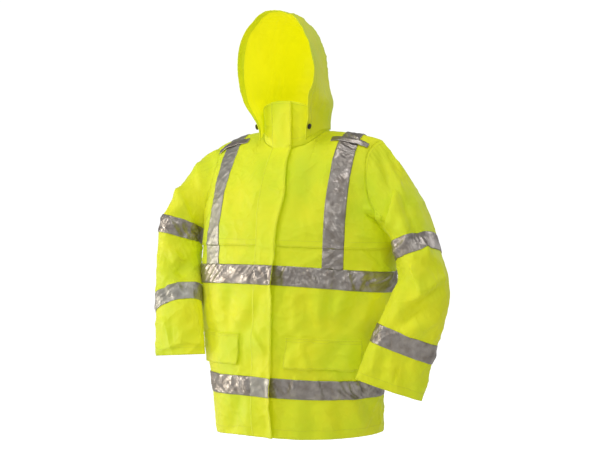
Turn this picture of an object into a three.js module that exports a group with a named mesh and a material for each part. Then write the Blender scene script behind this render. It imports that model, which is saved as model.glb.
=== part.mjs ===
// Hooded hi-vis work jacket, filled out as if worn, with no wearer.
// Millimetres, +Z up, the front faces -Y, the wearer's left is +X, origin at the middle of the neck base.
import * as THREE from 'three';

// Cloth and seam sizes
const WALL = 1.6;             // main coated cloth
const SEAM = 0.3;             // clear space between two sewn pieces
const TAPE = 0.8;             // reflective tape
const TAPE_WIDTH = 50;
const YOKE_WALL = 1.2;
const UNDER_YOKE = 0.9;       // the cape hangs a little off the front
const TOP_OF_YOKE = UNDER_YOKE + YOKE_WALL;

// Levels at the centre front, from the hem up
const HEM = -784;
const HEM_TAPE = [-681, -631];
const POCKET_FLAP = [-604, -523];
const WAIST_TAPE = [-394, -344];
const YOKE_EDGE = -296;
const UNDERARM = -262;
const LOWER_ROWS = [HEM, -730, HEM_TAPE[0], HEM_TAPE[1], POCKET_FLAP[0], -563, POCKET_FLAP[1], -458,
  WAIST_TAPE[0], WAIST_TAPE[1], YOKE_EDGE, UNDERARM];
const UPPER_ROWS = [0.1, 0.22, 0.35, 0.48, 0.6, 0.71, 0.8, 0.88, 0.94, 1];

// Columns: below 200 a column is its distance from the centre line, and
// 200 to 300 runs from there to the side seam or the armhole.
const ZIP_EDGE = 10;
const FLAP_FREE = 27;
const FLAP_SEAM = 38;
const NECK_HALF = 88;
const BRACE = [150, 200];
const COLUMNS = [ZIP_EDGE, FLAP_FREE, FLAP_SEAM, 62, 82, NECK_HALF, 118, BRACE[0], 175, BRACE[1],
  233.3, 266.7, 300];

// Body sections: level, half width, depth of front, depth of back,
// and how far the row hangs lower at the wearer's right and left side.
const BODY = [
  [-784, 238, 184, 150, 24, -5],
  [-656, 247, 182, 150, 15, 4],
  [-560, 265, 178, 148, 12, 8],
  [-458, 278, 172, 144, 12, 14],
  [-369, 286, 164, 140, 14, 18],
  [-296, 285, 156, 138, 8, 7],
  [-262, 283, 153, 138, 4, 4],
  [-180, 281, 150, 138, 0, 0],
  [0, 278, 148, 134, 0, 0],
];
const HEM_SWING = 9;          // the skirt hangs a little towards the wearer's left
const BRACE_LEAN = 16;        // the right brace tape stands this far out at the waist
const SHOULDER_DROP = { left: 26, right: 45 };   // from the neck to the armhole
const SHOULDER_HALF = 254;
const ROLL = { front: 1.65, back: 2.1 };         // how square the body rolls over the shoulder
const NECK = { front: 72, back: 62, square: 2.5 };

// Armhole: share of the way up, distance from the centre line
const ARMHOLE = [[0, 283], [0.12, 267], [0.25, 250], [0.4, 237], [0.55, 230], [0.7, 229], [0.85, 238], [1, 254]];

// Sleeves, one ring a row: centre x, y, z, turn of the broad side, half breadth, half depth
const SLEEVES = {
  left: [
    [335, -8, -226, 2, 56, 82],
    [356, -15, -291, 4, 55, 80],
    [391, -45, -388, 12, 66, 64],
    [377, -60, -460, 20, 76, 52],
    [355, -72, -525, 25, 80, 42],
    [334, -84, -592, 26, 86, 32],
    [318, -94, -650, 26, 87, 25],
  ],
  right: [
    [327, -14, -205, 0, 54, 80],
    [350, -32, -265, 0, 53, 78],
    [350, -46, -330, 0, 56, 72],
    [342, -62, -388, 3, 62, 62],
    [312, -106, -461, 8, 72, 48],
    [300, -120, -526, 8, 82, 36],
    [293, -128, -599, 8, 87, 28],
  ],
};
const SLEEVE_TAPES = { left: [69, 330], right: [68, 276] };   // middle of each tape down the sleeve

const HEAD_ROWS = [0.08, 0.24, 0.42, 0.62, 0.82];
// How the sleeve head leaves the armhole, in degrees under level: at the underarm and at the shoulder
const HEAD_FALL = { left: [50, 48], right: [40, 12] };

// Hood: share of the way up, half width and y of the rim, half width of the side, y of the back
const HOOD = [
  [0, 72, -80, 99, 62],
  [0.15, 94, -108, 108, 92],
  [0.3, 111, -118, 90, 96],
  [0.45, 112, -122, 80, 104],
  [0.6, 96, -124, 67, 105],
  [0.75, 62, -126, 43, 110],
  [0.88, 33, -130, 27, 114],
  [1, 0, -132, 0, 115],
];
const HOOD_TOP = { rim: 317, back: 226, middle: 14 };
const HOOD_CORNER = [70, -80, -20];
const COLLAR_TOP = { front: 84, side: 56, back: 66 };
const SNAP_RADIUS = 7.5;
const STUD_STAND = 1;       // from the middle of the hood's corner cell

// Soft folds pressed into the body: side, face, x, level, half length, half width, lean, height
const FOLDS = [
  ['left', 'front', 120, -700, 130, 46, 6, 5],
  ['left', 'front', 205, -480, 120, 34, -10, -5],
  ['right', 'front', 140, -700, 120, 44, -5, 5],
  ['right', 'front', 95, -470, 110, 40, 14, -4],
  ['left', 'back', 60, -520, 200, 60, 8, -6],
  ['right', 'back', 130, -600, 170, 55, -8, 6],
];

const vec = (x, y, z) => new THREE.Vector3(x, y, z);
const side = (name) => (name === 'left' ? 1 : -1);
const lerp = (a, b, t) => a + (b - a) * t;

// One column of a table at any value of its first column, by a smooth curve through the rows.
function read(rows, column, at) {
  const last = rows.length - 1;
  let i = 0;
  while (i < last - 1 && at > rows[i + 1][0]) i += 1;
  const t = Math.min(1, Math.max(0, (at - rows[i][0]) / (rows[i + 1][0] - rows[i][0])));
  const width = rows[i + 1][0] - rows[i][0];
  const slope = (j) => {
    const lo = Math.max(0, j - 1), hi = Math.min(last, j + 1);
    return (rows[hi][column] - rows[lo][column]) / (rows[hi][0] - rows[lo][0]);
  };
  const t2 = t * t, t3 = t2 * t;
  return (2 * t3 - 3 * t2 + 1) * rows[i][column] + (t3 - 2 * t2 + t) * width * slope(i)
    + (3 * t2 - 2 * t3) * rows[i + 1][column] + (t3 - t2) * width * slope(i + 1);
}

// Height of the shoulder line at a distance from the centre.
function shoulderLine(name, x) {
  const inner = Math.min(x, NECK_HALF) / NECK_HALF;
  const outer = Math.max(0, x - NECK_HALF) / (SHOULDER_HALF - NECK_HALF);
  return 4 + 8 * (1 - inner * inner) - SHOULDER_DROP[name] * Math.pow(outer, 1.7);
}

// Sum of the soft folds at a place on the body.
function foldHeight(name, face, x, z) {
  let sum = 0;
  for (const [s, f, x0, z0, long, wide, lean, height] of FOLDS) {
    if (s !== name || f !== face) continue;
    const along = (z - z0) / long;
    const across = (x - x0 - lean * along) / wide;
    sum += height * Math.exp(-along * along - across * across);
  }
  return sum;
}

// Moves the right front's columns out around the waist, where the brace tape leans away from the middle.
function leaned(name, face, c, row) {
  if (name !== 'right' || face !== 'front') return c;
  const reach = row < 0 ? Math.min(1, Math.max(0, (row + 250) / 118)) : Math.max(0, 1 - row / 0.9);
  const share = c < 150 ? Math.max(0, (c - 62) / 88) : Math.min(1, (300 - c) / 100);
  return c + BRACE_LEAN * reach * share;
}

// A point of the body. Rows at or under 0 are levels below the underarm, rows 0 to 1 climb to the shoulder.
function bodyPoint(name, face, column, row) {
  const c = leaned(name, face, column, row);
  const low = Math.min(0, row);
  const level = UNDERARM + low;
  const front = face === 'front';
  const rowAt = Math.max(0, row);
  const half = read(BODY, 1, level + rowAt * 260);
  const depth = read(BODY, front ? 2 : 3, level + rowAt * 260);
  const drop = read(BODY, name === 'left' ? 5 : 4, level);
  const edge = rowAt > 0 ? Math.asin(Math.min(1, read(ARMHOLE, 1, rowAt) / half)) : Math.PI / 2;
  const inner = Math.asin(Math.min(200, c) / half);
  const angle = c <= 200 ? inner : lerp(inner, edge, (c - 200) / 100);
  const x = half * Math.sin(angle);
  const start = level - drop * Math.sin(angle) ** 2;
  let y = depth * Math.cos(angle);
  let z = start;
  if (rowAt > 0) {
    const topX = c <= 200 ? c : lerp(200, SHOULDER_HALF, (c - 200) / 100);
    let most = 1;
    if (c < NECK_HALF) {
      const reach = (front ? NECK.front : NECK.back)
        * Math.pow(1 - Math.pow(c / NECK_HALF, NECK.square), 1 / NECK.square);
      most = Math.acos(Math.min(1, Math.pow(reach / y, ROLL[face] / 2))) * 2 / Math.PI;
    }
    const climb = rowAt * most * Math.PI / 2;
    z = lerp(start, shoulderLine(name, topX), Math.pow(Math.sin(climb), 2 / ROLL[face]));
    y *= Math.pow(Math.max(0, Math.cos(climb)), 2 / ROLL[face]);
  }
  y += foldHeight(name, face, x, z) * Math.cos(angle);
  const swing = Math.min(1, Math.max(0, (-560 - level) / (-560 - HEM)));
  return vec(side(name) * x + HEM_SWING * swing * swing, front ? -y : y, z);
}

// The outward direction at a place on the body, from two short steps across it.
function bodyNormal(name, face, c, row) {
  const dr = row < 0 || (row === 0) ? 1 : 0.004;
  const hi = row < 1 ? bodyPoint(name, face, c, row < 0 ? Math.min(0, row + dr) : row + 0.004) : null;
  const lo = row < 0 ? bodyPoint(name, face, c, row - dr) : bodyPoint(name, face, c, row > 0 ? row - 0.004 : -1);
  const mid = bodyPoint(name, face, c, row);
  const up = (row > 0.995 ? mid : hi).clone().sub(lo);
  const right = bodyPoint(name, face, Math.min(300, c + 0.5), row)
    .sub(bodyPoint(name, face, Math.max(0.01, c - 0.5), row));
  const n = right.cross(up).normalize();
  if (row > 0.999 && c >= NECK_HALF) return vec(n.x, 0, n.z).normalize();
  const outward = vec(mid.x, mid.y * 1.5, 40 + 60 * Math.max(0, row));
  return n.dot(outward) < 0 ? n.negate() : n;
}

const rowsUp = [...LOWER_ROWS.map((z) => z - UNDERARM), ...UPPER_ROWS];

function bodySpot(name, face, c, row) {
  return { p: bodyPoint(name, face, c, row), n: bodyNormal(name, face, c, row) };
}

function bodyGrid(name, face, columns, rows) {
  return rows.map((row) => columns.map((c) => bodySpot(name, face, c, row)));
}

// Moves the named edges of a grid inward along the cloth, so that sewn neighbours stand apart.
function inset(grid, edges, by = SEAM / 2) {
  const rows = grid.length, cols = grid[0].length;
  const moved = grid.map((line) => line.map((s) => ({ p: s.p.clone(), n: s.n })));
  const shift = (i, j, k, l) => {
    const dir = grid[k][l].p.clone().sub(grid[i][j].p).normalize();
    moved[i][j].p.addScaledVector(dir, by);
  };
  for (let j = 0; j < cols; j += 1) {
    if (edges.includes('bottom')) shift(0, j, 1, j);
    if (edges.includes('top')) shift(rows - 1, j, rows - 2, j);
  }
  for (let i = 0; i < rows; i += 1) {
    if (edges.includes('first')) shift(i, 0, i, 1);
    if (edges.includes('last')) shift(i, cols - 1, i, cols - 2);
  }
  return moved;
}

// The two triangles of a cell, cut along the diagonal that stands further out.
function ridgeFirst(spots, a, b, c, d) {
  const out = spots[a].n.clone().add(spots[c].n).add(spots[b].n).add(spots[d].n);
  const first = out.dot(spots[a].p.clone().add(spots[c].p));
  const second = out.dot(spots[b].p.clone().add(spots[d].p));
  return first >= second ? [[a, b, c], [a, c, d]] : [[a, b, d], [b, c, d]];
}

// A closed wall of cloth over a grid of places: it lies between two distances along each outward direction.
function wall(grid, inner, outer, ring = false) {
  const rows = grid.length, cols = grid[0].length, count = rows * cols;
  const at = (v, i, j) => (typeof v === 'function' ? v(i, j) : v);
  const points = [];
  for (const v of [outer, inner]) {
    for (let i = 0; i < rows; i += 1) {
      for (let j = 0; j < cols; j += 1) {
        points.push(grid[i][j].p.clone().addScaledVector(grid[i][j].n, at(v, i, j)));
      }
    }
  }
  const faces = [];
  const spots = grid.flat();
  const quad = (a, b, c, d) => faces.push([a, b, c], [a, c, d]);
  const id = (i, j) => i * cols + (j % cols);
  const across = ring ? cols : cols - 1;
  for (let i = 0; i < rows - 1; i += 1) {
    for (let j = 0; j < across; j += 1) {
      const a = id(i, j), b = id(i, j + 1), c = id(i + 1, j + 1), d = id(i + 1, j);
      for (const [e, f, g] of ridgeFirst(spots, a, b, c, d)) {
        faces.push([e, f, g], [e + count, g + count, f + count]);
      }
    }
  }
  for (let j = 0; j < across; j += 1) {
    quad(id(0, j + 1), id(0, j), id(0, j) + count, id(0, j + 1) + count);
    quad(id(rows - 1, j), id(rows - 1, j + 1), id(rows - 1, j + 1) + count, id(rows - 1, j) + count);
  }
  if (!ring) {
    for (let i = 0; i < rows - 1; i += 1) {
      quad(id(i, 0), id(i + 1, 0), id(i + 1, 0) + count, id(i, 0) + count);
      quad(id(i + 1, cols - 1), id(i, cols - 1), id(i, cols - 1) + count, id(i + 1, cols - 1) + count);
    }
  }
  let volume = 0;
  for (const [a, b, c] of faces) volume += points[a].dot(points[b].clone().cross(points[c]));
  const geometry = new THREE.BufferGeometry();
  geometry.setAttribute('position', new THREE.Float32BufferAttribute(points.flatMap((p) => [p.x, p.y, p.z]), 3));
  geometry.setIndex(faces.flatMap(([a, b, c]) => (volume < 0 ? [a, c, b] : [a, b, c])));
  geometry.computeVertexNormals();
  return geometry;
}

// Colours
const cloth = new THREE.MeshStandardMaterial({ color: 0xdfe83a, roughness: 0.6, side: THREE.DoubleSide });
const tape = new THREE.MeshStandardMaterial({ color: 0xa9a39c, roughness: 0.35, metalness: 0.4 });
const black = new THREE.MeshStandardMaterial({ color: 0x1b1b1d, roughness: 0.35 });
const zipCloth = new THREE.MeshStandardMaterial({ color: 0xc9d234, roughness: 0.7 });

const group = new THREE.Group();
group.name = 'hi_vis_work_jacket';
function piece(name, geometry, material = cloth) {
  const mesh = new THREE.Mesh(geometry, material);
  mesh.name = name;
  group.add(mesh);
}

// Sleeve centre line below the sleeve head: the table's rings as a curve with its length measured.
function sleevePath(name) {
  const sign = side(name);
  const centres = SLEEVES[name].map(([x, y, z]) => vec(sign * x, y, z));
  const curve = new THREE.CatmullRomCurve3(centres, false, 'centripetal');
  const shape = SLEEVES[name].map((r, i) => [i / (centres.length - 1), r[3], r[4], r[5]]);
  return { curve, shape, length: curve.getLength(), sign };
}

// The closed armhole line, from the underarm up the front and down the back.
function armholeLoop(name) {
  const rows = [0, ...UPPER_ROWS];
  const frontUp = rows.map((r) => bodySpot(name, 'front', 300, r));
  const backDown = rows.slice(1, -1).reverse().map((r) => bodySpot(name, 'back', 300, r));
  return [...frontUp, ...backDown];
}

// One oval ring of the sleeve at a distance down its centre line.
function sleeveRing(path, count, distance) {
  const t = path.curve.getUtoTmapping(Math.min(1, distance / path.length));
  const centre = path.curve.getPoint(t);
  const along = path.curve.getTangent(t);
  const turn = read(path.shape, 1, t) * Math.PI / 180;
  const broad = vec(path.sign * Math.cos(turn), Math.sin(turn), 0);
  broad.addScaledVector(along, -broad.dot(along)).normalize();
  const deep = along.clone().cross(broad).normalize();
  if (deep.y > 0) deep.negate();
  const breadth = read(path.shape, 2, t), depth = read(path.shape, 3, t);
  return Array.from({ length: count }, (_, j) => {
    const turned = 2 * Math.PI * j / count;
    return centre.clone().addScaledVector(broad, -Math.cos(turned) * breadth)
      .addScaledVector(deep, Math.sin(turned) * depth);
  });
}

// The sleeve head: each point runs on a smooth curve from the armhole, leaving it outward, to the first ring.
function headRing(name, loop, first, along, t) {
  const t2 = t * t, t3 = t2 * t;
  return loop.map((spot, j) => {
    const from = spot.p, to = first[j], reach = from.distanceTo(to);
    const high = (1 - Math.cos(2 * Math.PI * j / loop.length)) / 2;
    const fall = lerp(HEAD_FALL[name][0], HEAD_FALL[name][1], high) * Math.PI / 180;
    const leave = vec(side(name) * Math.cos(fall), 0, -Math.sin(fall)).multiplyScalar(reach);
    return from.clone().multiplyScalar(2 * t3 - 3 * t2 + 1)
      .addScaledVector(leave, t3 - 2 * t2 + t)
      .addScaledVector(to, 3 * t2 - 2 * t3)
      .addScaledVector(along, (t3 - t2) * reach);
  });
}

// A whole sleeve as a grid of places; the directions come from the neighbouring points.
function sleeveGrid(name) {
  const path = sleevePath(name);
  const loop = armholeLoop(name);
  const [upper, lower] = SLEEVE_TAPES[name];
  const end = path.length, half = TAPE_WIDTH / 2;
  const stations = [upper - half, upper + half, ...[0.25, 0.5, 0.75].map((k) => lerp(upper + half, lower - half, k)),
    lower - half, lower + half, (lower + half + end) / 2 - 10, end - 34, end];
  const first = sleeveRing(path, loop.length, stations[0]);
  const along = path.curve.getTangent(path.curve.getUtoTmapping(stations[0] / path.length));
  const head = HEAD_ROWS.map((t) => headRing(name, loop, first, along, t));
  const rings = [loop.map((q) => q.p.clone()), ...head, ...stations.map((s) => sleeveRing(path, loop.length, s))];
  const tapes = [1 + HEAD_ROWS.length, 6 + HEAD_ROWS.length];
  const count = loop.length;
  const grid = rings.map((ring, i) => ring.map((p, j) => {
    const up = rings[Math.min(i + 1, rings.length - 1)][j].clone().sub(rings[Math.max(0, i - 1)][j]);
    const round = ring[(j + 1) % count].clone().sub(ring[(j + count - 1) % count]);
    const n = up.cross(round).normalize();
    const middle = ring.reduce((a, q) => a.add(q), vec(0, 0, 0)).divideScalar(count);
    return { p, n: n.dot(p.clone().sub(middle)) < 0 ? n.negate() : n };
  }));
  grid[0].forEach((s, j) => { s.n = s.n.clone().add(loop[j].n).normalize(); });
  return { grid, tapes };
}

const sleeves = { left: sleeveGrid('left'), right: sleeveGrid('right') };

// At the armhole the body and the sleeve share one direction, so their walls meet on a mitre.
function shareArmhole(grid, name, face, column) {
  const loop = sleeves[name].grid[0];
  const first = rowsUp.indexOf(0);
  for (let i = first; i < grid.length; i += 1) {
    const k = i - first;
    const j = face === 'front' ? k : (loop.length - k) % loop.length;
    grid[i][column] = { p: grid[i][column].p, n: loop[j].n };
  }
  return grid;
}

// Fronts and back
for (const name of ['left', 'right']) {
  const grid = shareArmhole(bodyGrid(name, 'front', COLUMNS, rowsUp), name, 'front', COLUMNS.length - 1);
  piece(`front_${name}`, wall(inset(grid, ['first', 'last', 'top']), -WALL, 0));
}
const backColumns = [0.01, 30, 62, 82, ...COLUMNS.slice(5)];
const backHalf = {};
for (const name of ['left', 'right']) {
  backHalf[name] = shareArmhole(bodyGrid(name, 'back', backColumns, rowsUp), name, 'back', backColumns.length - 1);
}
const backGrid = rowsUp.map((row, i) => [...backHalf.right[i].slice(1).reverse(), ...backHalf.left[i]]);
piece('back', wall(inset(backGrid, ['first', 'last', 'top']), -WALL, 0));

// Sleeves
for (const name of ['left', 'right']) {
  piece(`sleeve_${name}`, wall(inset(sleeves[name].grid, ['bottom'], SEAM), -WALL, 0, true));
}

// Zip: one plain closed strip between the two front edges, hidden by the storm flap
const zipGrid = rowsUp.map((row) => [
  bodySpot('right', 'front', ZIP_EDGE, row), bodySpot('left', 'front', ZIP_EDGE, row)]);
piece('zip', wall(inset(zipGrid, ['first', 'last']), -WALL, 0), zipCloth);

// Yoke halves: a loose cape over the chest, free along its lower edge
const yokeRows = rowsUp.slice(rowsUp.indexOf(YOKE_EDGE - UNDERARM));
for (const name of ['left', 'right']) {
  const from = name === 'left' ? 0 : 2;
  const columns = [...COLUMNS.slice(from, -1).map((c) => (c === NECK_HALF ? c + 5 : c)), 282];
  const grid = inset(bodyGrid(name, 'front', columns, yokeRows), ['top', 'first'], 5);
  const lift = (i, j) => (i === 0 ? 1.2 : 0) + (j === columns.length - 1 ? 1.6 : 0);
  piece(`yoke_${name}`, wall(grid, (i, j) => UNDER_YOKE + lift(i, j), (i, j) => TOP_OF_YOKE + lift(i, j)));
}

// Waist and hem tapes, each round the body from the left front edge to the flap's seam
function tapeRound(levels) {
  const rows = levels.map((z) => z - UNDERARM);
  return rows.map((row) => [
    ...COLUMNS.map((c) => bodySpot('left', 'front', c, row)),
    ...backColumns.slice(0, -1).reverse().map((c) => bodySpot('left', 'back', c, row)),
    ...backColumns.slice(1, -1).map((c) => bodySpot('right', 'back', c, row)),
    ...COLUMNS.slice(2).reverse().map((c) => bodySpot('right', 'front', c, row)),
  ]);
}
piece('waist_tape', wall(inset(tapeRound(WAIST_TAPE), ['last']), SEAM, SEAM + TAPE), tape);
piece('hem_tape', wall(inset(tapeRound(HEM_TAPE), ['last']), SEAM, SEAM + TAPE), tape);

// Brace tapes: a short length that runs up under the yoke, and a long one over the shoulder and down the back
const braceColumns = [BRACE[0], 175, BRACE[1]];
for (const name of ['left', 'right']) {
  const low = bodyGrid(name, 'front', braceColumns, [WAIST_TAPE[1] - UNDERARM, YOKE_EDGE - UNDERARM]);
  piece(`brace_tape_front_${name}`, wall(inset(low, ['bottom'], SEAM), SEAM, SEAM + TAPE), tape);
  const over = yokeRows.length;
  const backRows = [WAIST_TAPE[1] - UNDERARM, ...yokeRows.slice(0, -1)].reverse();
  const long = [...bodyGrid(name, 'front', braceColumns, yokeRows),
    ...bodyGrid(name, 'back', braceColumns, backRows)];
  const lift = (i) => {
    if (i < over) return TOP_OF_YOKE + 2 * SEAM + (i === 0 ? 1.2 : 0);
    return SEAM + Math.max(0, 1.4 - 0.7 * (i - over));
  };
  piece(`brace_tape_${name}`, wall(inset(long, ['top'], SEAM), lift, (i) => lift(i) + TAPE), tape);
}

// Sleeve tapes
for (const name of ['left', 'right']) {
  const { grid, tapes } = sleeves[name];
  tapes.forEach((i, k) => {
    piece(`sleeve_tape_${k === 0 ? 'upper' : 'lower'}_${name}`,
      wall(grid.slice(i, i + 2), SEAM, SEAM + TAPE, true), tape);
  });
}

// Collar: stands on the neckline all the way round, open at the zip
function collarSpot(name, face, c, up) {
  const foot = bodyPoint(name, face, c, 1);
  const turn = Math.asin(Math.min(1, c / NECK_HALF));
  const top = face === 'front'
    ? lerp(COLLAR_TOP.side, COLLAR_TOP.front, Math.cos(turn) ** 1.5)
    : lerp(COLLAR_TOP.side, COLLAR_TOP.back, Math.cos(turn));
  const spread = 1 + 0.03 * up * up;
  return vec(foot.x * spread, foot.y * spread, lerp(foot.z + 1, top, up));
}
const neckColumns = COLUMNS.slice(0, 6);
const neckBack = [82, 62, 30];
const ringOrder = [
  ...neckColumns.map((c) => ['left', 'front', c]), ...neckBack.map((c) => ['left', 'back', c]),
  ['left', 'back', 0.01],
  ...[...neckBack].reverse().map((c) => ['right', 'back', c]),
  ...[...neckColumns].reverse().map((c) => ['right', 'front', c]),
];
const collarUps = [0, 0.35, 0.7, 1];
function ringGrid(ups, spot) {
  const lines = ups.map((up) => ringOrder.map(([name, face, c]) => spot(name, face, c, up)));
  return lines.map((line, i) => line.map((p, j) => {
    const round = line[Math.min(line.length - 1, j + 1)].clone().sub(line[Math.max(0, j - 1)]);
    const up = lines[Math.min(i + 1, lines.length - 1)][j].clone().sub(lines[Math.max(0, i - 1)][j]);
    const n = round.cross(up).normalize();
    return { p, n: n.x * p.x + n.y * p.y < 0 ? n.negate() : n };
  }));
}
const collarGrid = ringGrid(collarUps, collarSpot);
piece('collar', wall(collarGrid, -WALL, 0));

// Hood halves, sewn along the middle and standing just outside the collar
function hoodPoint(name, p, s) {
  const [rimX, rimY, sideX, backY] = [1, 2, 3, 4].map((column) => read(HOOD, column, s));
  const round = p * Math.PI / 2;
  const x = sideX * Math.pow(Math.cos(round), lerp(0.5, 0.85, s)) + (rimX - sideX) * Math.max(0, 1 - p / 0.5) ** 2;
  const y = lerp(rimY, backY, Math.pow(Math.sin(round), 0.95));
  const foot = hoodFoot(p);
  const top = lerp(HOOD_TOP.rim, HOOD_TOP.back, p ** 1.2) + HOOD_TOP.middle * Math.sin(Math.PI * p);
  const blend = Math.min(1, s / 0.2);
  const ease = blend * blend * (3 - 2 * blend);
  return vec(side(name) * lerp(foot.x, x, ease), lerp(foot.y, y, ease),
    lerp(foot.z, top, Math.sin(s * Math.PI / 2)));
}

// The hood's foot: from the studded front corner it joins the neckline, just outside the collar, to the back.
function hoodFoot(p) {
  const turn = lerp(-0.8, Math.PI / 2, p);
  const reach = turn < 0 ? NECK.front : NECK.back;
  const x = Math.abs(Math.cos(turn)) ** 0.8, y = Math.sign(turn) * Math.abs(Math.sin(turn)) ** 0.8;
  const out = vec(x, y, 0).normalize();
  const low = turn < 0 ? 26 * Math.sin(-turn) ** 1.6 : -3 * Math.sin(turn);
  const joined = vec(x * NECK_HALF + out.x * 3, y * reach + out.y * 3, 8 - low);
  const loose = Math.max(0, 1 - p / 0.3) ** 2;
  return joined.lerp(vec(...HOOD_CORNER), loose);
}

const hoodAcross = [0, 0.09, 0.22, 0.36, 0.5, 0.63, 0.75, 0.87, 1];
const hoodUp = [0, 0.12, 0.24, 0.36, 0.48, 0.6, 0.71, 0.81, 0.9, 1];
function hoodGrid(name) {
  const lines = hoodUp.map((s) => hoodAcross.map((p) => hoodPoint(name, p, s)));
  return lines.map((line, i) => line.map((p, j) => {
    const n = vec(0, 0, 0);
    for (const [a, b] of [[0, 0], [-1, 0], [0, -1], [-1, -1]]) {
      const r = i + a, q = j + b;
      if (r < 0 || q < 0 || r >= lines.length - 1 || q >= line.length - 1) continue;
      const d1 = lines[r + 1][q + 1].clone().sub(lines[r][q]);
      const d2 = lines[r + 1][q].clone().sub(lines[r][q + 1]);
      n.add(d1.cross(d2));
    }
    if (i === lines.length - 1 || j === line.length - 1) n.x = 0;
    n.normalize();
    return { p, n: n.dot(p.clone().sub(vec(0, 0, 120))) < 0 ? n.negate() : n };
  }));
}
for (const name of ['left', 'right']) {
  piece(`hood_${name}`, wall(inset(hoodGrid(name), ['last', 'top']), -WALL, 0));
}

// Storm flap: from its seam on the wearer's right over the zip to a free edge, and on up the collar
const flapColumns = [['right', FLAP_SEAM], ['right', FLAP_FREE], ['right', ZIP_EDGE], ['left', ZIP_EDGE],
  ['left', FLAP_FREE]];
const flapLift = [0.5, 1.4, 2.4, 3.3, 4.6];
const flapGrid = rowsUp.map((row) => flapColumns.map(([name, c]) => bodySpot(name, 'front', c, row)));
const flapTop = collarUps.slice(1).map((up, k) => flapColumns.map(([name, c]) => {
  const j = ringOrder.findIndex(([n, f, q]) => n === name && f === 'front' && q === c);
  return collarGrid[k + 1][j];
}));
const stormGrid = [...flapGrid, ...flapTop];
piece('storm_flap', wall(stormGrid, (i, j) => flapLift[j], (i, j) => flapLift[j] + WALL));
for (const [label, levels] of [['waist', WAIST_TAPE], ['hem', HEM_TAPE]]) {
  const rows = levels.map((z) => rowsUp.indexOf(z - UNDERARM));
  const grid = stormGrid.slice(rows[0], rows[1] + 1);
  piece(`flap_tape_${label}`, wall(grid, (i, j) => flapLift[j] + WALL + SEAM,
    (i, j) => flapLift[j] + WALL + SEAM + TAPE), tape);
}

// Pocket flaps, sewn along the top and standing off a little below
for (const name of ['left', 'right']) {
  const columns = COLUMNS.filter((c) => c >= (name === 'left' ? 62 : 82) && c <= 234);
  const rows = [POCKET_FLAP[0], -563, POCKET_FLAP[1]].map((z) => z - UNDERARM);
  const lift = (i) => [4.5, 3, 0.4][i];
  piece(`pocket_flap_${name}`, wall(bodyGrid(name, 'front', columns, rows), lift, (i) => lift(i) + WALL));
}

// Radio tabs: a reflective strap bowed over each brace tape just in front of the shoulder seam
for (const name of ['left', 'right']) {
  const grid = [0.735, 0.8].map((row) => [124, 150, 175, 200, 240, 280]
    .map((c) => bodySpot(name, 'front', c, row)));
  const lift = (i, j) => [2.6, 4.8, 6.4, 6.2, 5.4, 4.6][j];
  piece(`radio_tab_${name}`, wall(grid, lift, (i, j) => lift(i, j) + 1), tape);
}

// Press studs at the hood's front corners
for (const name of ['left', 'right']) {
  const grid = hoodGrid(name);
  const corners = [grid[0][0], grid[0][1], grid[1][0], grid[1][1]];
  const middle = corners.reduce((a, s) => a.add(s.p), vec(0, 0, 0)).divideScalar(4);
  const out = corners.reduce((a, s) => a.add(s.n), vec(0, 0, 0)).normalize();
  const profile = [[0, 0], [SNAP_RADIUS, 0], [SNAP_RADIUS, 1.2], [SNAP_RADIUS - 1.2, 2.4], [0, 2.8]]
    .map(([r, h]) => new THREE.Vector2(r, h));
  const stud = new THREE.LatheGeometry(profile, 20);
  stud.applyQuaternion(new THREE.Quaternion().setFromUnitVectors(vec(0, 1, 0), out));
  stud.translate(...middle.addScaledVector(out, STUD_STAND).toArray());
  piece(`stud_${name}`, stud, black);
}

export default group;
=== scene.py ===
import math

import bpy
import numpy as np
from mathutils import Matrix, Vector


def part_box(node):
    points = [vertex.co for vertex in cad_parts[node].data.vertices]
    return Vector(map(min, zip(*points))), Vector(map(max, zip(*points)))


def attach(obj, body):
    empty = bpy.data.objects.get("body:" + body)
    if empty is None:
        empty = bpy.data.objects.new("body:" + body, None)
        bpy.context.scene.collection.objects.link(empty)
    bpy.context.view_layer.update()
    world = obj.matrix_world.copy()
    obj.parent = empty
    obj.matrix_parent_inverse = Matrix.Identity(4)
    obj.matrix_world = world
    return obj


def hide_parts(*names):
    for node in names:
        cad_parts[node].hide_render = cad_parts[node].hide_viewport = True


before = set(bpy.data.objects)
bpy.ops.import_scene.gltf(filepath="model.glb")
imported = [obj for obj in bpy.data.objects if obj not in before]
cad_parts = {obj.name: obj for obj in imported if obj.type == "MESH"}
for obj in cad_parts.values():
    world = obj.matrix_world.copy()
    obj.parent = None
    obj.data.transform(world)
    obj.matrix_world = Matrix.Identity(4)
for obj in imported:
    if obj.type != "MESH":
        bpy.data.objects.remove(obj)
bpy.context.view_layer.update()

# The studio: a pale floor well under the hem, a white surround, and soft light from the front left.
# The camera stands 30 degrees round towards the wearer's left, level with the upper chest.
LOOK = math.radians(30)
FAR = 3.8                  # metres from the jacket's middle line to the lens
PIXEL = 0.00268            # metres of cloth in one pixel, at the middle line
MIDDLE = (297.5, 163.0)    # where the middle line and the lens's level lie in the frame
LENS_LEVEL = -0.080

camera_data = bpy.data.cameras.new("camera")
camera_data.sensor_width = 36
camera_data.lens = 36 * FAR / PIXEL / 600
camera_data.shift_x = (300 - MIDDLE[0]) / 600
camera_data.shift_y = (MIDDLE[1] - 225) / 600
camera = bpy.data.objects.new("camera", camera_data)
camera.location = (FAR * math.sin(LOOK), -FAR * math.cos(LOOK), LENS_LEVEL)
camera.rotation_euler = (math.pi / 2, 0, LOOK)
bpy.context.collection.objects.link(camera)
bpy.context.scene.camera = camera

bpy.context.scene.view_settings.view_transform = "Standard"

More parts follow.
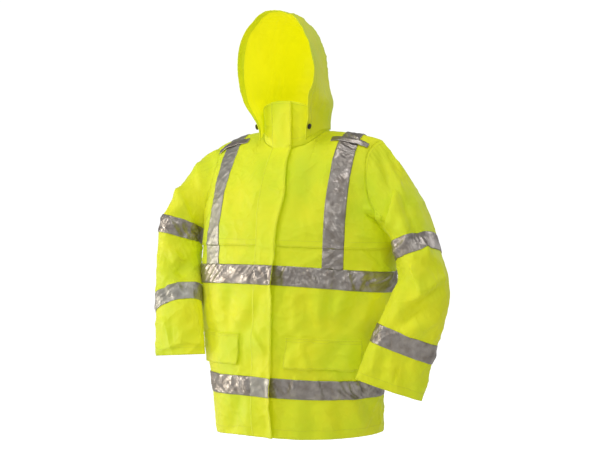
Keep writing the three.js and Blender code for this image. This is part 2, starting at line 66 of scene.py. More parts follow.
world = bpy.data.worlds.new("white_surround")
world.use_nodes = True
world_tree = world.node_tree
paper, seen_as = world_tree.nodes["Background"], world_tree.nodes.new("ShaderNodeMapRange")
rays = world_tree.nodes.new("ShaderNodeLightPath")
paper.inputs["Color"].default_value = (1.0, 1.0, 1.0, 1)
seen_as.inputs["To Min"].default_value, seen_as.inputs["To Max"].default_value = 0.27, 1.05
world_tree.links.new(rays.outputs["Is Camera Ray"], seen_as.inputs["Value"])
world_tree.links.new(seen_as.outputs["Result"], paper.inputs["Strength"])
bpy.context.scene.world = world


def soft_light(name, place, target, size, power, tint=(1.0, 1.0, 1.0)):
    """A square soft box of the given side, turned so that it looks from its place to the target."""
    data = bpy.data.lights.new(name, "AREA")
    data.shape, data.size, data.energy, data.color = "SQUARE", size, power, tint
    light = bpy.data.objects.new(name, data)
    light.location = place
    away = np.subtract(place, target)
    flat = math.hypot(away[0], away[1])
    light.rotation_euler = (math.atan2(flat, away[2]), 0, math.atan2(away[0], -away[1]))
    bpy.context.collection.objects.link(light)


soft_light("key_light", (-2.9, -2.6, 1.2), (0, 0, -0.3), 0.6, 31, (1.0, 0.95, 0.86))
soft_light("left_light", (-3.7, -1.1, -0.6), (-0.3, 0, -0.4), 0.9, 42, (1.0, 0.94, 0.80))
soft_light("glint_light", (2.9, -2.6, 0.5), (0, 0, -0.3), 0.45, 6)
soft_light("front_fill", (0.1, -3.7, 0.9), (0, 0, -0.3), 0.6, 13, (0.97, 1.0, 0.97))
soft_light("high_light", (2.3, -1.9, 2.4), (0.2, 0, 0.0), 0.7, 17, (0.98, 1.0, 0.96))
soft_light("top_light", (-0.2, -1.2, 2.6), (0, 0, -0.1), 1.0, 20)
soft_light("back_light", (1.6, 2.9, 1.4), (0, 0, -0.3), 2.0, 20)

floor_mesh = bpy.data.meshes.new("floor")
floor_mesh.from_pydata([(-60, -60, -1.25), (60, -60, -1.25), (60, 60, -1.25), (-60, 60, -1.25)],
                       [], [(0, 1, 2, 3)])
floor_paper = bpy.data.materials.new("floor_paper")
floor_paper.use_nodes = True
floor_paper.node_tree.nodes["Principled BSDF"].inputs["Base Color"].default_value = (0.93, 0.93, 0.93, 1)
floor_paper.node_tree.nodes["Principled BSDF"].inputs["Roughness"].default_value = 0.9
floor_paper.node_tree.nodes["Principled BSDF"].inputs["Emission Color"].default_value = (1, 1, 1, 1)
glow, rays = (floor_paper.node_tree.nodes.new(kind) for kind in ("ShaderNodeMapRange", "ShaderNodeLightPath"))
glow.inputs["To Min"].default_value, glow.inputs["To Max"].default_value = 0.05, 0.85
floor_paper.node_tree.links.new(rays.outputs["Is Camera Ray"], glow.inputs["Value"])
floor_paper.node_tree.links.new(glow.outputs["Result"],
                                floor_paper.node_tree.nodes["Principled BSDF"].inputs["Emission Strength"])
floor_mesh.materials.append(floor_paper)
floor = bpy.data.objects.new("floor", floor_mesh)
bpy.context.collection.objects.link(floor)

# Fronts and back: the three body panels of fluorescent coated cloth, cut full and filled out as if worn.
# They are sewn at the side seams and shoulders. Every layer that is sewn on them follows their shape.
HEM, UNDERARM = -784, -262             # millimetres, as every size of the cloth's shape below
HEM_SWING = 9                          # the skirt hangs a little towards the wearer's left
BRACE_LEAN = 16                        # the right brace tape stands this far out at the waist
SHOULDER_DROP = {"left": 26, "right": 45}
SHOULDER_HALF, NECK_HALF = 254, 88
NECK_DEPTH = {"front": 72, "back": 62}
ROLL = {"front": 1.65, "back": 2.1}    # how square the body rolls over the shoulder
CLOTH = 1.6
# level, half width, depth of front, depth of back, lower at the right side, lower at the left side
BODY = np.array([
    [-784, 238, 184, 150, 24, -5], [-656, 247, 182, 150, 15, 4], [-560, 265, 178, 148, 12, 8],
    [-458, 278, 172, 144, 12, 14], [-369, 286, 164, 140, 14, 18], [-296, 285, 156, 138, 8, 7],
    [-262, 283, 153, 138, 4, 4], [-180, 281, 150, 138, 0, 0], [0, 278, 148, 134, 0, 0]], float)
# share of the way up the armhole, distance of its edge from the middle
ARMHOLE = np.array([[0, 283], [.12, 267], [.25, 250], [.4, 237], [.55, 230], [.7, 229], [.85, 238],
                    [1, 254]], float)
# side, face, x, level, half length, half width, lean, height of the big soft folds
BIG_FOLDS = [
    ("left", "front", 120, -700, 130, 46, 6, 5), ("left", "front", 205, -480, 120, 34, -10, -5),
    ("right", "front", 140, -700, 120, 44, -5, 5), ("right", "front", 95, -470, 110, 40, 14, -4),
    ("left", "back", 60, -520, 200, 60, 8, -6), ("right", "back", 130, -600, 170, 55, -8, 6)]
# Creases where they lie in the picture: from x, y to x, y, width in pixels, height in millimetres,
# and 1 or -1 where the cloth laps over on that side of the line and falls off sharply on the other
FRONT_CREASES = [
    (347, 174, 343, 219, 7, 8.0, 0), (340, 140, 335, 169, 7, 6.0, 0), (331, 222, 343, 240, 5, 5.0, 1),
    (288, 266, 284, 284, 3, 4.5, 0), (311, 268, 318, 286, 4, 6.0, 1), (331, 270, 328, 288, 3, 5.0, 0),
    (344, 270, 351, 290, 4, 6.0, -1), (364, 272, 357, 290, 4, 5.0, 0), (296, 377, 291, 396, 3, 5.5, 0),
    (317, 379, 323, 398, 4, 6.0, 1), (338, 379, 334, 398, 4, 6.0, 0), (353, 377, 358, 394, 3, 5.0, 0),
    (222, 372, 217, 392, 3, 5.0, 0), (243, 376, 248, 394, 3, 4.5, 0), (339, 190, 333, 204, 3, 4.0, 1),
    (364, 210, 385, 223, 7, 14.0, -1), (366, 213, 385, 225, 2.6, -11.0, 0), (384, 226, 393, 193, 8, 17.0, 1),
    (384, 226, 392, 195, 2.6, -11.0, 0), (384, 226, 389, 243, 5, 6.0, -1), (361, 250, 378, 263, 6, 7.2, 1),
    (355, 236, 372, 240, 4, 3.6, -1), (352, 263, 384, 269, 9, -4.8, 0), (372, 168, 381, 206, 8, -6.0, 0),
    (355, 176, 374, 214, 7, 5.4, 0), (364, 150, 372, 176, 6, 3.6, 0), (317, 157, 303, 215, 9, -5.4, 0),
    (331, 196, 350, 262, 9, 3.6, 0), (329, 160, 325, 215, 7, 3.0, 0), (298, 150, 295, 200, 6, 2.4, 0),
    (258, 160, 262, 225, 9, 3.1, 0), (242, 150, 234, 215, 8, -4.1, 0), (226, 176, 219, 240, 7, 3.4, 0),
    (310, 222, 318, 240, 6, 3.1, -1), (299, 230, 330, 236, 5, 2.4, 0),
    (293, 288, 296, 334, 7, 6.6, 0), (304, 296, 313, 332, 7, -6.0, 0), (320, 286, 318, 326, 7, 7.2, 0),
    (331, 290, 328, 330, 6, -6.6, 0), (362, 292, 341, 332, 8, -8.4, 0), (349, 284, 334, 316, 7, 6.6, 0),
    (374, 292, 362, 326, 8, 6.0, 0), (301, 333, 306, 345, 4, 4.2, 0), (313, 332, 316, 344, 4, -3.6, 0),
    (338, 343, 326, 371, 8, -7.2, 0), (303, 345, 310, 371, 7, 6.6, 1), (350, 344, 344, 368, 7, 4.8, 0),
    (371, 326, 377, 368, 7, -6.0, 0), (291, 338, 276, 372, 6, -6.0, 0), (286, 342, 292, 372, 6, 4.8, 0),
    (330, 374, 352, 368, 7, 3.6, 0), (220, 284, 217, 312, 6, 4.8, 0), (231, 288, 226, 330, 6, -4.8, 0),
    (251, 296, 238, 326, 7, 6.0, 0), (262, 290, 250, 330, 7, -4.8, 0), (254, 332, 267, 354, 6, 5.4, 1),
    (243, 326, 240, 362, 5, -4.8, 0), (214, 322, 216, 350, 6, -4.2, 0), (246, 350, 258, 372, 6, -3.6, 0),
    (240, 398, 230, 434, 6, -6.0, 0), (247, 398, 250, 432, 6, 4.8, 0), (221, 396, 224, 430, 6, 4.8, 0),
    (262, 400, 266, 434, 7, -3.6, 0), (296, 404, 300, 440, 7, 5.4, 0), (310, 402, 314, 436, 6, -4.8, 0),
    (326, 402, 331, 436, 6, 6.0, 0), (339, 400, 346, 434, 6, -6.0, 0), (352, 396, 361, 430, 6, 6.0, 0),
    (366, 394, 374, 422, 6, -4.8, 0), (300, 366, 318, 375, 6, 3.6, 0), (212, 370, 222, 392, 5, -3.6, 0)]


def smooth_column(table, column, at):
    """One column of a table at any value of its first column: a cubic between each two rows, whose
    slope at a row is the rise from the row before it to the row after it over their distance."""
    x, v = table[:, 0], table[:, column]
    lo, hi = np.maximum(np.arange(len(x)) - 1, 0), np.minimum(np.arange(len(x)) + 1, len(x) - 1)
    slope = (v[hi] - v[lo]) / (x[hi] - x[lo])
    i = np.clip(np.searchsorted(x, at, side="left") - 1, 0, len(x) - 2)
    gap = x[i + 1] - x[i]
    t = np.clip((at - x[i]) / gap, 0, 1)
    return ((2 * t**3 - 3 * t**2 + 1) * v[i] + (t**3 - 2 * t**2 + t) * gap * slope[i]
            + (3 * t**2 - 2 * t**3) * v[i + 1] + (t**3 - t**2) * gap * slope[i + 1])


def leaned(side, face, c, row):
    """The right front's columns, moved out round the waist: by the lean, times a share that grows from
    column 62 to 150 and fades to the side, times a share that fades to the pockets and the shoulder."""
    if (side, face) != ("right", "front"):
        return c
    reach = np.where(row < 0, np.clip((row + 250) / 118, 0, 1), np.maximum(0, 1 - row / 0.9))
    share = np.where(c < 150, np.maximum(0, (c - 62) / 88), np.minimum(1, (300 - c) / 100))
    return c + BRACE_LEAN * reach * share


def body_cloth(side, face, c, row):
    """The body's outer face. c up to 200 is the distance from the middle line, and 200 to 300 runs on
    to the side seam or armhole. A row under 0 is that far under the underarm, on an oval section;
    rows 0 to 1 climb over the shoulder on a rounded quarter turn, cut short at the neckline, where
    the cut grows with the row to the power 2.5."""
    c, row = np.meshgrid(np.asarray(c, float), np.asarray(row, float))
    c = leaned(side, face, c, row)
    level, up = UNDERARM + np.minimum(row, 0), np.maximum(row, 0)
    half = smooth_column(BODY, 1, level + up * 260)
    depth = smooth_column(BODY, 2 if face == "front" else 3, level + up * 260)
    drop = smooth_column(BODY, 5 if side == "left" else 4, level)
    edge = np.where(up > 0, np.arcsin(np.minimum(1, smooth_column(ARMHOLE, 1, up) / half)), np.pi / 2)
    inner, run = np.arcsin(np.minimum(200, c) / half), np.clip((c - 200) / 100, 0, 1)
    angle = inner + (edge - inner) * run
    x, y = half * np.sin(angle), depth * np.cos(angle)
    start = level - drop * np.sin(angle) ** 2
    top_x = np.where(c <= 200, c, 200 + (SHOULDER_HALF - 200) * run)
    neck = np.minimum(top_x, NECK_HALF) / NECK_HALF
    out = np.maximum(0, top_x - NECK_HALF) / (SHOULDER_HALF - NECK_HALF)
    shoulder = 4 + 8 * (1 - neck**2) - SHOULDER_DROP[side] * out**1.7
    reach = NECK_DEPTH[face] * np.maximum(0, 1 - neck**2.5) ** 0.4
    most = np.where(c < NECK_HALF, np.arccos(np.minimum(1, (reach / np.maximum(y, 1)) ** (ROLL[face] / 2))),
                    np.pi / 2)
    climb = up * np.pi / 2 - (np.pi / 2 - most) * up**2.5
    z = start + (shoulder - start) * np.sin(climb) ** (2 / ROLL[face])
    y = y * np.maximum(0, np.cos(climb)) ** (2 / ROLL[face])
    for s, f, x0, z0, long, wide, lean, height in BIG_FOLDS:
        if (s, f) == (side, face):
            along = (z - z0) / long
            y = y + height * np.cos(angle) * np.exp(-along**2 - ((x - x0 - lean * along) / wide) ** 2)
    swing = HEM_SWING * np.clip((-560 - level) / (-560 - HEM), 0, 1) ** 2
    return np.stack([(x if side == "left" else -x) + swing, -y if face == "front" else y, z], axis=2)


def grid_normals(points, closed=False):
    """The outward direction at each place of a grid: the cross product of the steps across and up,
    turned to point away from the grid's own middle. A closed grid runs on from its last column."""
    if closed:
        across = np.roll(points, -1, axis=1) - np.roll(points, 1, axis=1)
    else:
        across = np.gradient(points, axis=1)
    n = np.cross(across, np.gradient(points, axis=0))
    return n / np.maximum(np.linalg.norm(n, axis=2, keepdims=True), 1e-9)


def seen(points):
    """Where points lie in the picture, in pixels: their distance right of and above the lens's axis,
    over their distance in front of the lens."""
    x, y, z = np.moveaxis(points, 2, 0)
    right, near = x * math.cos(LOOK) + y * math.sin(LOOK), x * math.sin(LOOK) - y * math.cos(LOOK)
    scale = FAR / (FAR - near / 1000) / (PIXEL * 1000)
    return MIDDLE[0] + right * scale, MIDDLE[1] - (z - LENS_LEVEL * 1000) * scale


def creases(points, normals, lines):
    """How far each place moves out: the sum over all creases of height times a bell across the line,
    faded at both ends, and cut off on one side where the cloth laps over. Sides that face away from
    the picture keep their shape."""
    u, v = seen(points)
    facing = np.clip(normals[..., 0] * math.sin(LOOK) - normals[..., 1] * math.cos(LOOK), 0, 0.3) / 0.3
    total = np.zeros(u.shape)
    for x0, y0, x1, y1, width, height, lap in lines:
        long = math.hypot(x1 - x0, y1 - y0)
        dx, dy = (x1 - x0) / long, (y1 - y0) / long
        along = ((u - x0) * dx + (v - y0) * dy) / long
        across = ((v - y0) * dx - (u - x0) * dy) / width
        bell = np.exp(-across**2 - (np.maximum(0, np.abs(along - 0.5) - 0.3) / 0.22) ** 2)
        if lap:
            bell = bell * 0.5 * (1 + np.tanh(lap * across / 0.16))
        total += height * bell
    return total * facing


def crumple(points, seed, size, height):
    """Small uneven creases all over: waves of four sizes in chance directions, bent by longer waves,
    with narrow crests, and stronger in some places than in others."""
    rng = np.random.default_rng(seed)
    q, total = points / size, 0
    for k, share in enumerate((1.0, 0.7, 0.45, 0.3)):
        way, bend, patch = (v / np.linalg.norm(v) for v in rng.normal(size=(3, 3)))
        turn = rng.uniform(0, 6.28, 3)
        wave = np.sin(q @ way * 6.28 * 1.6**k + 2.2 * np.sin(q @ bend * 4.0 + turn[0]) + turn[1])
        total = total + share * (1 - np.abs(wave)) ** 2 * (0.55 + 0.45 * np.sin(q @ patch * 3 + turn[2]))
    return height * (total - total.mean())


def lines(keys, pitch):
    """Values from the first key to the last that meet every key, and lie about a pitch apart."""
    parts = [np.linspace(a, b, max(1, round((b - a) / pitch)), endpoint=False)
             for a, b in zip(keys, keys[1:])]
    return np.concatenate(parts + [[keys[-1]]])


ROWS = np.concatenate([
    lines([-522, -468, -419, -369, -342, -301, -261, -196, -132, -82, -34, 0], 4)[:-1],
    lines([0, 0.735, 0.8, 0.88, 0.94, 1], 0.0125)])
ACROSS = {"front": np.concatenate([[0.01, 5], lines([10, 27, 38, 62, 82, 88, 93, 118, 150, 200], 4)[:-1],
                                   lines([200, 233.3, 282, 300], 2.2)]),
          "back": np.concatenate([[0.01], lines([6, 82, 88, 93, 150, 200], 4)[:-1], lines([200, 300], 2.2)])}
body = {}
for side in ("left", "right"):
    for face in ("front", "back"):
        turned = 1 if (side == "left") == (face == "front") else -1
        points = body_cloth(side, face, ACROSS[face], ROWS)
        body[side, face] = [points, turned * grid_normals(points)]


def share_edges(body):
    """Where two panels are sewn, both take the mean of their outward directions: down the side seams,
    along the shoulders and down the middle."""
    low = ROWS <= 0
    for side in ("left", "right"):
        (p, front), (q, back) = body[side, "front"], body[side, "back"]
        mean = front[low, -1] + back[low, -1]
        front[low, -1] = back[low, -1] = mean / np.linalg.norm(mean, axis=1, keepdims=True)
        f, b = ACROSS["front"] >= 93, ACROSS["back"] >= 93
        front[-1, f, 1] = 0
        back[-1, b, 1] = 0
        front[-1, f] /= np.linalg.norm(front[-1, f], axis=1, keepdims=True)
        back[-1, b] /= np.linalg.norm(back[-1, b], axis=1, keepdims=True)
    for face in ("front", "back"):
        for side in ("left", "right"):
            body[side, face][1][:, 0, 0] = 0
            body[side, face][1][:, 0] /= np.linalg.norm(body[side, face][1][:, 0], axis=1, keepdims=True)


share_edges(body)
BACK_CREASES = [  # x, level, to x, level, width, height, on the back, in millimetres
    (-150, -60, -60, -200, 26, -4), (160, -70, 70, -210, 26, -4), (-200, -240, -120, -330, 22, 4),
    (205, -235, 120, -340, 22, 4), (-60, -420, -90, -600, 28, -5), (70, -430, 40, -620, 30, 5),
    (160, -430, 180, -600, 26, -5), (-190, -440, -175, -600, 26, 5), (-20, -120, 10, -300, 30, 3),
    (10, -640, 20, -770, 24, -4), (-120, -650, -140, -770, 24, 4), (120, -650, 110, -770, 22, -4)]
SIDE_SWELL = {"left": 0.0, "right": 9.0}     # fullness at the side seam, where the sleeve rests on it
for (side, face), panel in body.items():
    points, out = panel
    move = creases(points, out, FRONT_CREASES) if face == "front" else np.zeros(points.shape[:2])
    if face == "back":
        x, z = points[..., 0], points[..., 2]
        for x0, z0, x1, z1, width, height in BACK_CREASES:
            long = math.hypot(x1 - x0, z1 - z0)
            dx, dz = (x1 - x0) / long, (z1 - z0) / long
            along, across = ((x - x0) * dx + (z - z0) * dz) / long, ((z - z0) * dx - (x - x0) * dz) / width
            fade = (np.maximum(0, np.abs(along - 0.5) - 0.3) / 0.3) ** 2
            move = move + height * np.exp(-across**2 - fade) * np.clip(out[..., 1], 0, 0.4) / 0.4
    move = move + SIDE_SWELL[side] * (np.exp(-((300 - ACROSS[face]) / 70) ** 2)
                                      * np.exp(-((ROWS[:, None] + 245) / 100) ** 2))
    move = move + crumple(points, 4, 150, 1.8) + crumple(points, 9, 56, 1.1)
    panel[0] = points + out * move[..., None]
for (side, face), panel in body.items():
    turned = 1 if (side == "left") == (face == "front") else -1
    panel[1] = turned * grid_normals(panel[0])
share_edges(body)


def panel_columns(face, low, high):
    """The columns of a body panel from one distance to another."""
    c = ACROSS[face]
    return (c >= low - 0.02) & (c <= high + 0.02)


def panel_rows(low, high):
    """The rows of the body from one height to another."""
    return (ROWS >= low - 1e-6) & (ROWS <= high + 1e-6)


def cloth_piece(name, points, out, thick, finish, closed=False, inside=None, hem=0):
    """A sheet of cloth through a grid of places in millimetres, with quads between neighbours. Its UV
    map runs in metres along the cloth both ways, and its thickness lies under its outer face. The inside
    may have a finish of its own, apart from a hem that is turned in over its first columns."""
    rows, cols = points.shape[:2]
    wrap = np.concatenate([points, points[:, :1]], axis=1) if closed else points
    i, j = np.meshgrid(np.arange(rows - 1), np.arange(wrap.shape[1] - 1), indexing="ij")
    quads = np.stack([i * cols + j, i * cols + (j + 1) % cols, (i + 1) * cols + (j + 1) % cols,
                      (i + 1) * cols + j], axis=2).reshape(-1, 4)
    corner_i = np.stack([i, i, i + 1, i + 1], axis=2).reshape(-1, 4)
    corner_j = np.stack([j, j + 1, j + 1, j], axis=2).reshape(-1, 4)
    if (grid_normals(points, closed) * out).sum() < 0:
        quads, corner_i, corner_j = quads[:, ::-1], corner_i[:, ::-1], corner_j[:, ::-1]
    mesh = bpy.data.meshes.new(name)
    mesh.from_pydata((points.reshape(-1, 3) / 1000).tolist(), [], quads.tolist())
    across = np.linalg.norm(np.diff(wrap, axis=1), axis=2).mean(axis=0).cumsum() / 1000
    up = np.linalg.norm(np.diff(points, axis=0), axis=2).mean(axis=1).cumsum() / 1000
    uv = np.stack([np.append(0, across)[corner_j], np.append(0, up)[corner_i]], axis=2)
    mesh.uv_layers.new(name="cloth").data.foreach_set("uv", uv.ravel())
    mesh.polygons.foreach_set("use_smooth", np.ones(len(quads), bool))
    mesh.materials.append(finish)
    piece = bpy.data.objects.new(name, mesh)
    bpy.context.collection.objects.link(piece)
    wall = piece.modifiers.new("thickness", "SOLIDIFY")
    wall.thickness, wall.offset, wall.use_even_offset = thick / 1000, -1, False
    if inside:
        for layer in (inside, finish, finish):
            mesh.materials.append(layer)
        mesh.polygons.foreach_set("material_index", np.where(j.ravel() < hem, 2, 0).astype(np.int32))
        wall.material_offset = 1
    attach(piece, "root")
    return piece


def link(tree, source, output, target, entry):
    """Joins one node's output to another's input."""
    tree.links.new(source.outputs[output], target.inputs[entry])


def coated_cloth(name, light, deep, glow=0.10, creased=1.0):
    """Fluorescent polyester with a soft coating: a fine plain weave from two crossed sets of threads,
    patches of a deeper and a lighter yellow, sharp small folds from ridged noise, tiny crinkles, and a
    faint painted glow of its own, an emission that brightens the cloth's shaded sides."""
    material = bpy.data.materials.new(name)
    material.use_nodes = True
    tree = material.node_tree
    shader = tree.nodes["Principled BSDF"]
    place, along = tree.nodes.new("ShaderNodeTexCoord"), tree.nodes.new("ShaderNodeUVMap")
    along.uv_map = "cloth"
    patches = tree.nodes.new("ShaderNodeTexNoise")
    patches.inputs["Scale"].default_value, patches.inputs["Detail"].default_value = 7, 4
    ramp = tree.nodes.new("ShaderNodeValToRGB")
    ramp.color_ramp.elements[0].position, ramp.color_ramp.elements[0].color = 0.28, (*deep, 1)
    ramp.color_ramp.elements[1].position, ramp.color_ramp.elements[1].color = 0.64, (*light, 1)
    link(tree, place, "Object", patches, "Vector")
    link(tree, patches, "Fac", ramp, "Fac")
    threads = []
    for way in ("X", "Y"):
        wave = tree.nodes.new("ShaderNodeTexWave")
        wave.bands_direction = way
        wave.inputs["Scale"].default_value = 0.314 / 0.0011
        link(tree, along, "UV", wave, "Vector")
        threads.append(wave)
    weave = tree.nodes.new("ShaderNodeMath")
    weave.operation = "ADD"
    link(tree, threads[0], "Fac", weave, 0)
    link(tree, threads[1], "Fac", weave, 1)
    shade = tree.nodes.new("ShaderNodeMix")
    shade.data_type, shade.blend_type = "RGBA", "MULTIPLY"
    shade.inputs["B"].default_value = (0.9, 0.92, 0.8, 1)
    spread = tree.nodes.new("ShaderNodeMath")
    spread.operation = "MULTIPLY"
    spread.inputs[1].default_value = 0.25
    link(tree, weave, "Value", spread, 0)
    link(tree, spread, "Value", shade, "Factor")
    link(tree, ramp, "Color", shade, "A")
    link(tree, shade, "Result", shader, "Base Color")
    crinkle = tree.nodes.new("ShaderNodeTexNoise")
    crinkle.inputs["Scale"].default_value, crinkle.inputs["Detail"].default_value = 45, 5
    link(tree, place, "Object", crinkle, "Vector")
    rough = tree.nodes.new("ShaderNodeMapRange")
    rough.inputs["To Min"].default_value, rough.inputs["To Max"].default_value = 0.42, 0.66
    link(tree, crinkle, "Fac", rough, "Value")
    link(tree, rough, "Result", shader, "Roughness")
    folds = tree.nodes.new("ShaderNodeTexNoise")
    folds.noise_type = "RIDGED_MULTIFRACTAL"
    folds.inputs["Scale"].default_value, folds.inputs["Detail"].default_value = 11, 3
    folds.inputs["Distortion"].default_value, folds.inputs["Offset"].default_value = 0.0, 1.0
    link(tree, place, "Object", folds, "Vector")
    sharp, soft, fine = (tree.nodes.new("ShaderNodeBump") for k in range(3))
    sharp.inputs["Strength"].default_value, sharp.inputs["Distance"].default_value = 0.7, 0.0042 * creased
    soft.inputs["Strength"].default_value, soft.inputs["Distance"].default_value = 0.5, 0.0015
    fine.inputs["Strength"].default_value, fine.inputs["Distance"].default_value = 0.35, 0.0002
    link(tree, folds, "Fac", sharp, "Height")
    link(tree, crinkle, "Fac", soft, "Height")
    link(tree, sharp, "Normal", soft, "Normal")
    link(tree, weave, "Value", fine, "Height")
    link(tree, soft, "Normal", fine, "Normal")
    link(tree, fine, "Normal", shader, "Normal")
    shader.inputs["Sheen Weight"].default_value = 0.1
    shader.inputs["Sheen Roughness"].default_value = 0.4
    shader.inputs["Specular IOR Level"].default_value = 0.35
    # Painted light: the cloth glows with its own emission, which brightens its shaded sides.
    shader.inputs["Emission Color"].default_value = (0.70, 0.76, 0.0, 1)
    shader.inputs["Emission Strength"].default_value = glow
    return material


hi_vis = coated_cloth("fluorescent_cloth", (0.83, 0.84, 0.014), (0.64, 0.79, 0.016))


def stitches(name, runs, colour, pitch=3.6, length=2.6, thick=0.42):
    """Rows of thread: along each run of places and outward directions, a short bead every pitch, with
    pointed ends and a square middle that stands half out of the cloth."""
    points, faces, first = [], [], 0
    shape = np.array([[-.5, 0, 0], [-.3, 1, 0], [-.3, 0, 1], [-.3, -1, 0], [-.3, 0, -1],
                      [.3, 1, 0], [.3, 0, 1], [.3, -1, 0], [.3, 0, -1], [.5, 0, 0]])
    skin = ([[0, 1 + (k + 1) % 4, 1 + k] for k in range(4)] + [[9, 5 + k, 5 + (k + 1) % 4] for k in range(4)]
            + [[1 + k, 1 + (k + 1) % 4, 5 + (k + 1) % 4] for k in range(4)]
            + [[1 + k, 5 + (k + 1) % 4, 5 + k] for k in range(4)])
    for path, out in runs:
        far = np.append(0, np.linalg.norm(np.diff(path, axis=0), axis=1).cumsum())
        at = np.arange(pitch / 2, far[-1] - pitch / 2, pitch)
        if len(at) < 2:
            continue
        centre = np.stack([np.interp(at, far, path[:, k]) for k in range(3)], axis=1)
        up = np.stack([np.interp(at, far, out[:, k]) for k in range(3)], axis=1)
        up /= np.linalg.norm(up, axis=1, keepdims=True)
        ahead = np.gradient(centre, axis=0)
        ahead /= np.linalg.norm(ahead, axis=1, keepdims=True)
        aside = np.cross(up, ahead)
        beads = (centre[:, None] + up[:, None] * 0.15
                 + shape[None, :, 0:1] * length * ahead[:, None]
                 + shape[None, :, 1:2] * thick * aside[:, None] + shape[None, :, 2:3] * thick * up[:, None])
        faces.append((np.array(skin)[None] + first + 10 * np.arange(len(at))[:, None, None]).reshape(-1, 3))
        points.append(beads.reshape(-1, 3))
        first += 10 * len(at)
    mesh = bpy.data.meshes.new(name)
    mesh.from_pydata((np.concatenate(points) / 1000).tolist(), [], np.concatenate(faces).tolist())
    mesh.polygons.foreach_set("use_smooth", np.ones(len(mesh.polygons), bool))
    mesh.materials.append(colour)
    thread = bpy.data.objects.new(name, mesh)
    bpy.context.collection.objects.link(thread)
    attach(thread, "root")
    return thread


def sewing_thread(name, colour):
    """Spun polyester thread: a plain colour broken by a fine noise, with a twist in its bump."""
    material = bpy.data.materials.new(name)
    material.use_nodes = True
    tree = material.node_tree
    shader = tree.nodes["Principled BSDF"]
    place, spun = tree.nodes.new("ShaderNodeTexCoord"), tree.nodes.new("ShaderNodeTexNoise")
    spun.inputs["Scale"].default_value = 900
    ramp, bump = tree.nodes.new("ShaderNodeValToRGB"), tree.nodes.new("ShaderNodeBump")
    ramp.color_ramp.elements[0].color = (*(0.7 * np.array(colour)), 1)
    ramp.color_ramp.elements[1].color = (*colour, 1)
    bump.inputs["Strength"].default_value, bump.inputs["Distance"].default_value = 0.4, 0.0002
    link(tree, place, "Object", spun, "Vector")
    link(tree, spun, "Fac", ramp, "Fac")
    link(tree, ramp, "Color", shader, "Base Color")
    link(tree, spun, "Fac", bump, "Height")
    link(tree, bump, "Normal", shader, "Normal")
    shader.inputs["Roughness"].default_value = 0.6
    return material


yellow_thread = sewing_thread("yellow_thread", (0.72, 0.76, 0.04))


def sewn_line(points, out, dip, wide, fade):
    """Cloth drawn in along a seam: it sinks by dip at the seam and comes back over its width, as a bell
    of fade, which is each place's distance from the seam."""
    return points - out * (dip * np.exp(-(fade / wide) ** 2))[..., None]


def edge_distance(points, edge):
    """How far each place lies from one edge of its grid, measured along the cloth."""
    axis = 1 if edge in ("first", "last") else 0
    steps = np.linalg.norm(np.diff(points, axis=axis), axis=2)
    zero = np.zeros((points.shape[0], 1) if axis else (1, points.shape[1]))
    far = np.concatenate([zero, steps.cumsum(axis=axis)], axis=axis)
    if edge in ("last", "top"):
        far = (far[:, -1:] if axis else far[-1:]) - far
    return far


def beside(points, out, edge, distance):
    """A run of places along one edge of a grid, a little way in on the cloth, for a row of sewing."""
    far = edge_distance(points, edge)
    axis = 1 if edge in ("first", "last") else 0
    i = np.abs(far - distance).argmin(axis=axis)
    k = np.arange(len(i))
    return (points[k, i], out[k, i]) if axis else (points[i, k], out[i, k])


for side in ("left", "right"):
    points, out = body[side, "front"]
    keep = panel_columns("front", 10, 300)
    points, out = points[:, keep], out[:, keep]
    upper = ROWS >= 0
    points = sewn_line(points, out, 0.15, 3, np.where(upper[:, None], edge_distance(points, "last"), 99))
    front = cloth_piece(f"front_{side}_cloth", points, out, CLOTH, hi_vis)
    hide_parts(f"front_{side}")
    seam = stitches(f"front_{side}_sewing", [
        beside(points, out, "bottom", 22), beside(points[upper], out[upper], "last", 6)], yellow_thread)

points = np.concatenate([body["right", "back"][0][:, :0:-1], body["left", "back"][0]], axis=1)
out = np.concatenate([body["right", "back"][1][:, :0:-1], body["left", "back"][1]], axis=1)
upper = ROWS >= 0
for edge in ("first", "last"):
    points = sewn_line(points, out, 0.15, 3, np.where(upper[:, None], edge_distance(points, edge), 99))
back = cloth_piece("back_cloth", points, out, CLOTH, hi_vis)
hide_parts("back")
seam = stitches("back_sewing", [
    beside(points, out, "bottom", 22), beside(points[upper], out[upper], "first", 6),
    beside(points[upper], out[upper], "last", 6)], yellow_thread)

# Sleeves: one shaped tube of the same cloth each, sewn into the armhole and bent a little at the elbow.
# The cuff is turned in and sewn once round.
# centre x, y, z, turn of the broad side in degrees, half breadth, half depth of each ring
SLEEVES = {
    "left": np.array([[335, -8, -226, 2, 56, 82], [356, -15, -291, 4, 55, 80], [391, -45, -388, 12, 66, 64],
                      [377, -60, -460, 20, 76, 52], [355, -72, -525, 25, 80, 42], [334, -84, -592, 26, 86, 32],
                      [318, -94, -650, 26, 87, 25]], float),
    "right": np.array([[327, -14, -205, 0, 54, 80], [350, -32, -265, 0, 53, 78], [350, -46, -330, 0, 56, 72],
                       [342, -62, -388, 3, 62, 62], [312, -106, -461, 8, 72, 48], [300, -120, -526, 8, 82, 36],
                       [293, -128, -599, 8, 87, 28]], float)}
SLEEVE_TAPES = {"left": (69, 330), "right": (68, 276)}   # the tapes' middles, down the sleeve
HEAD_FALL = {"left": (50, 48), "right": (40, 12)}        # degrees under level, at underarm and shoulder
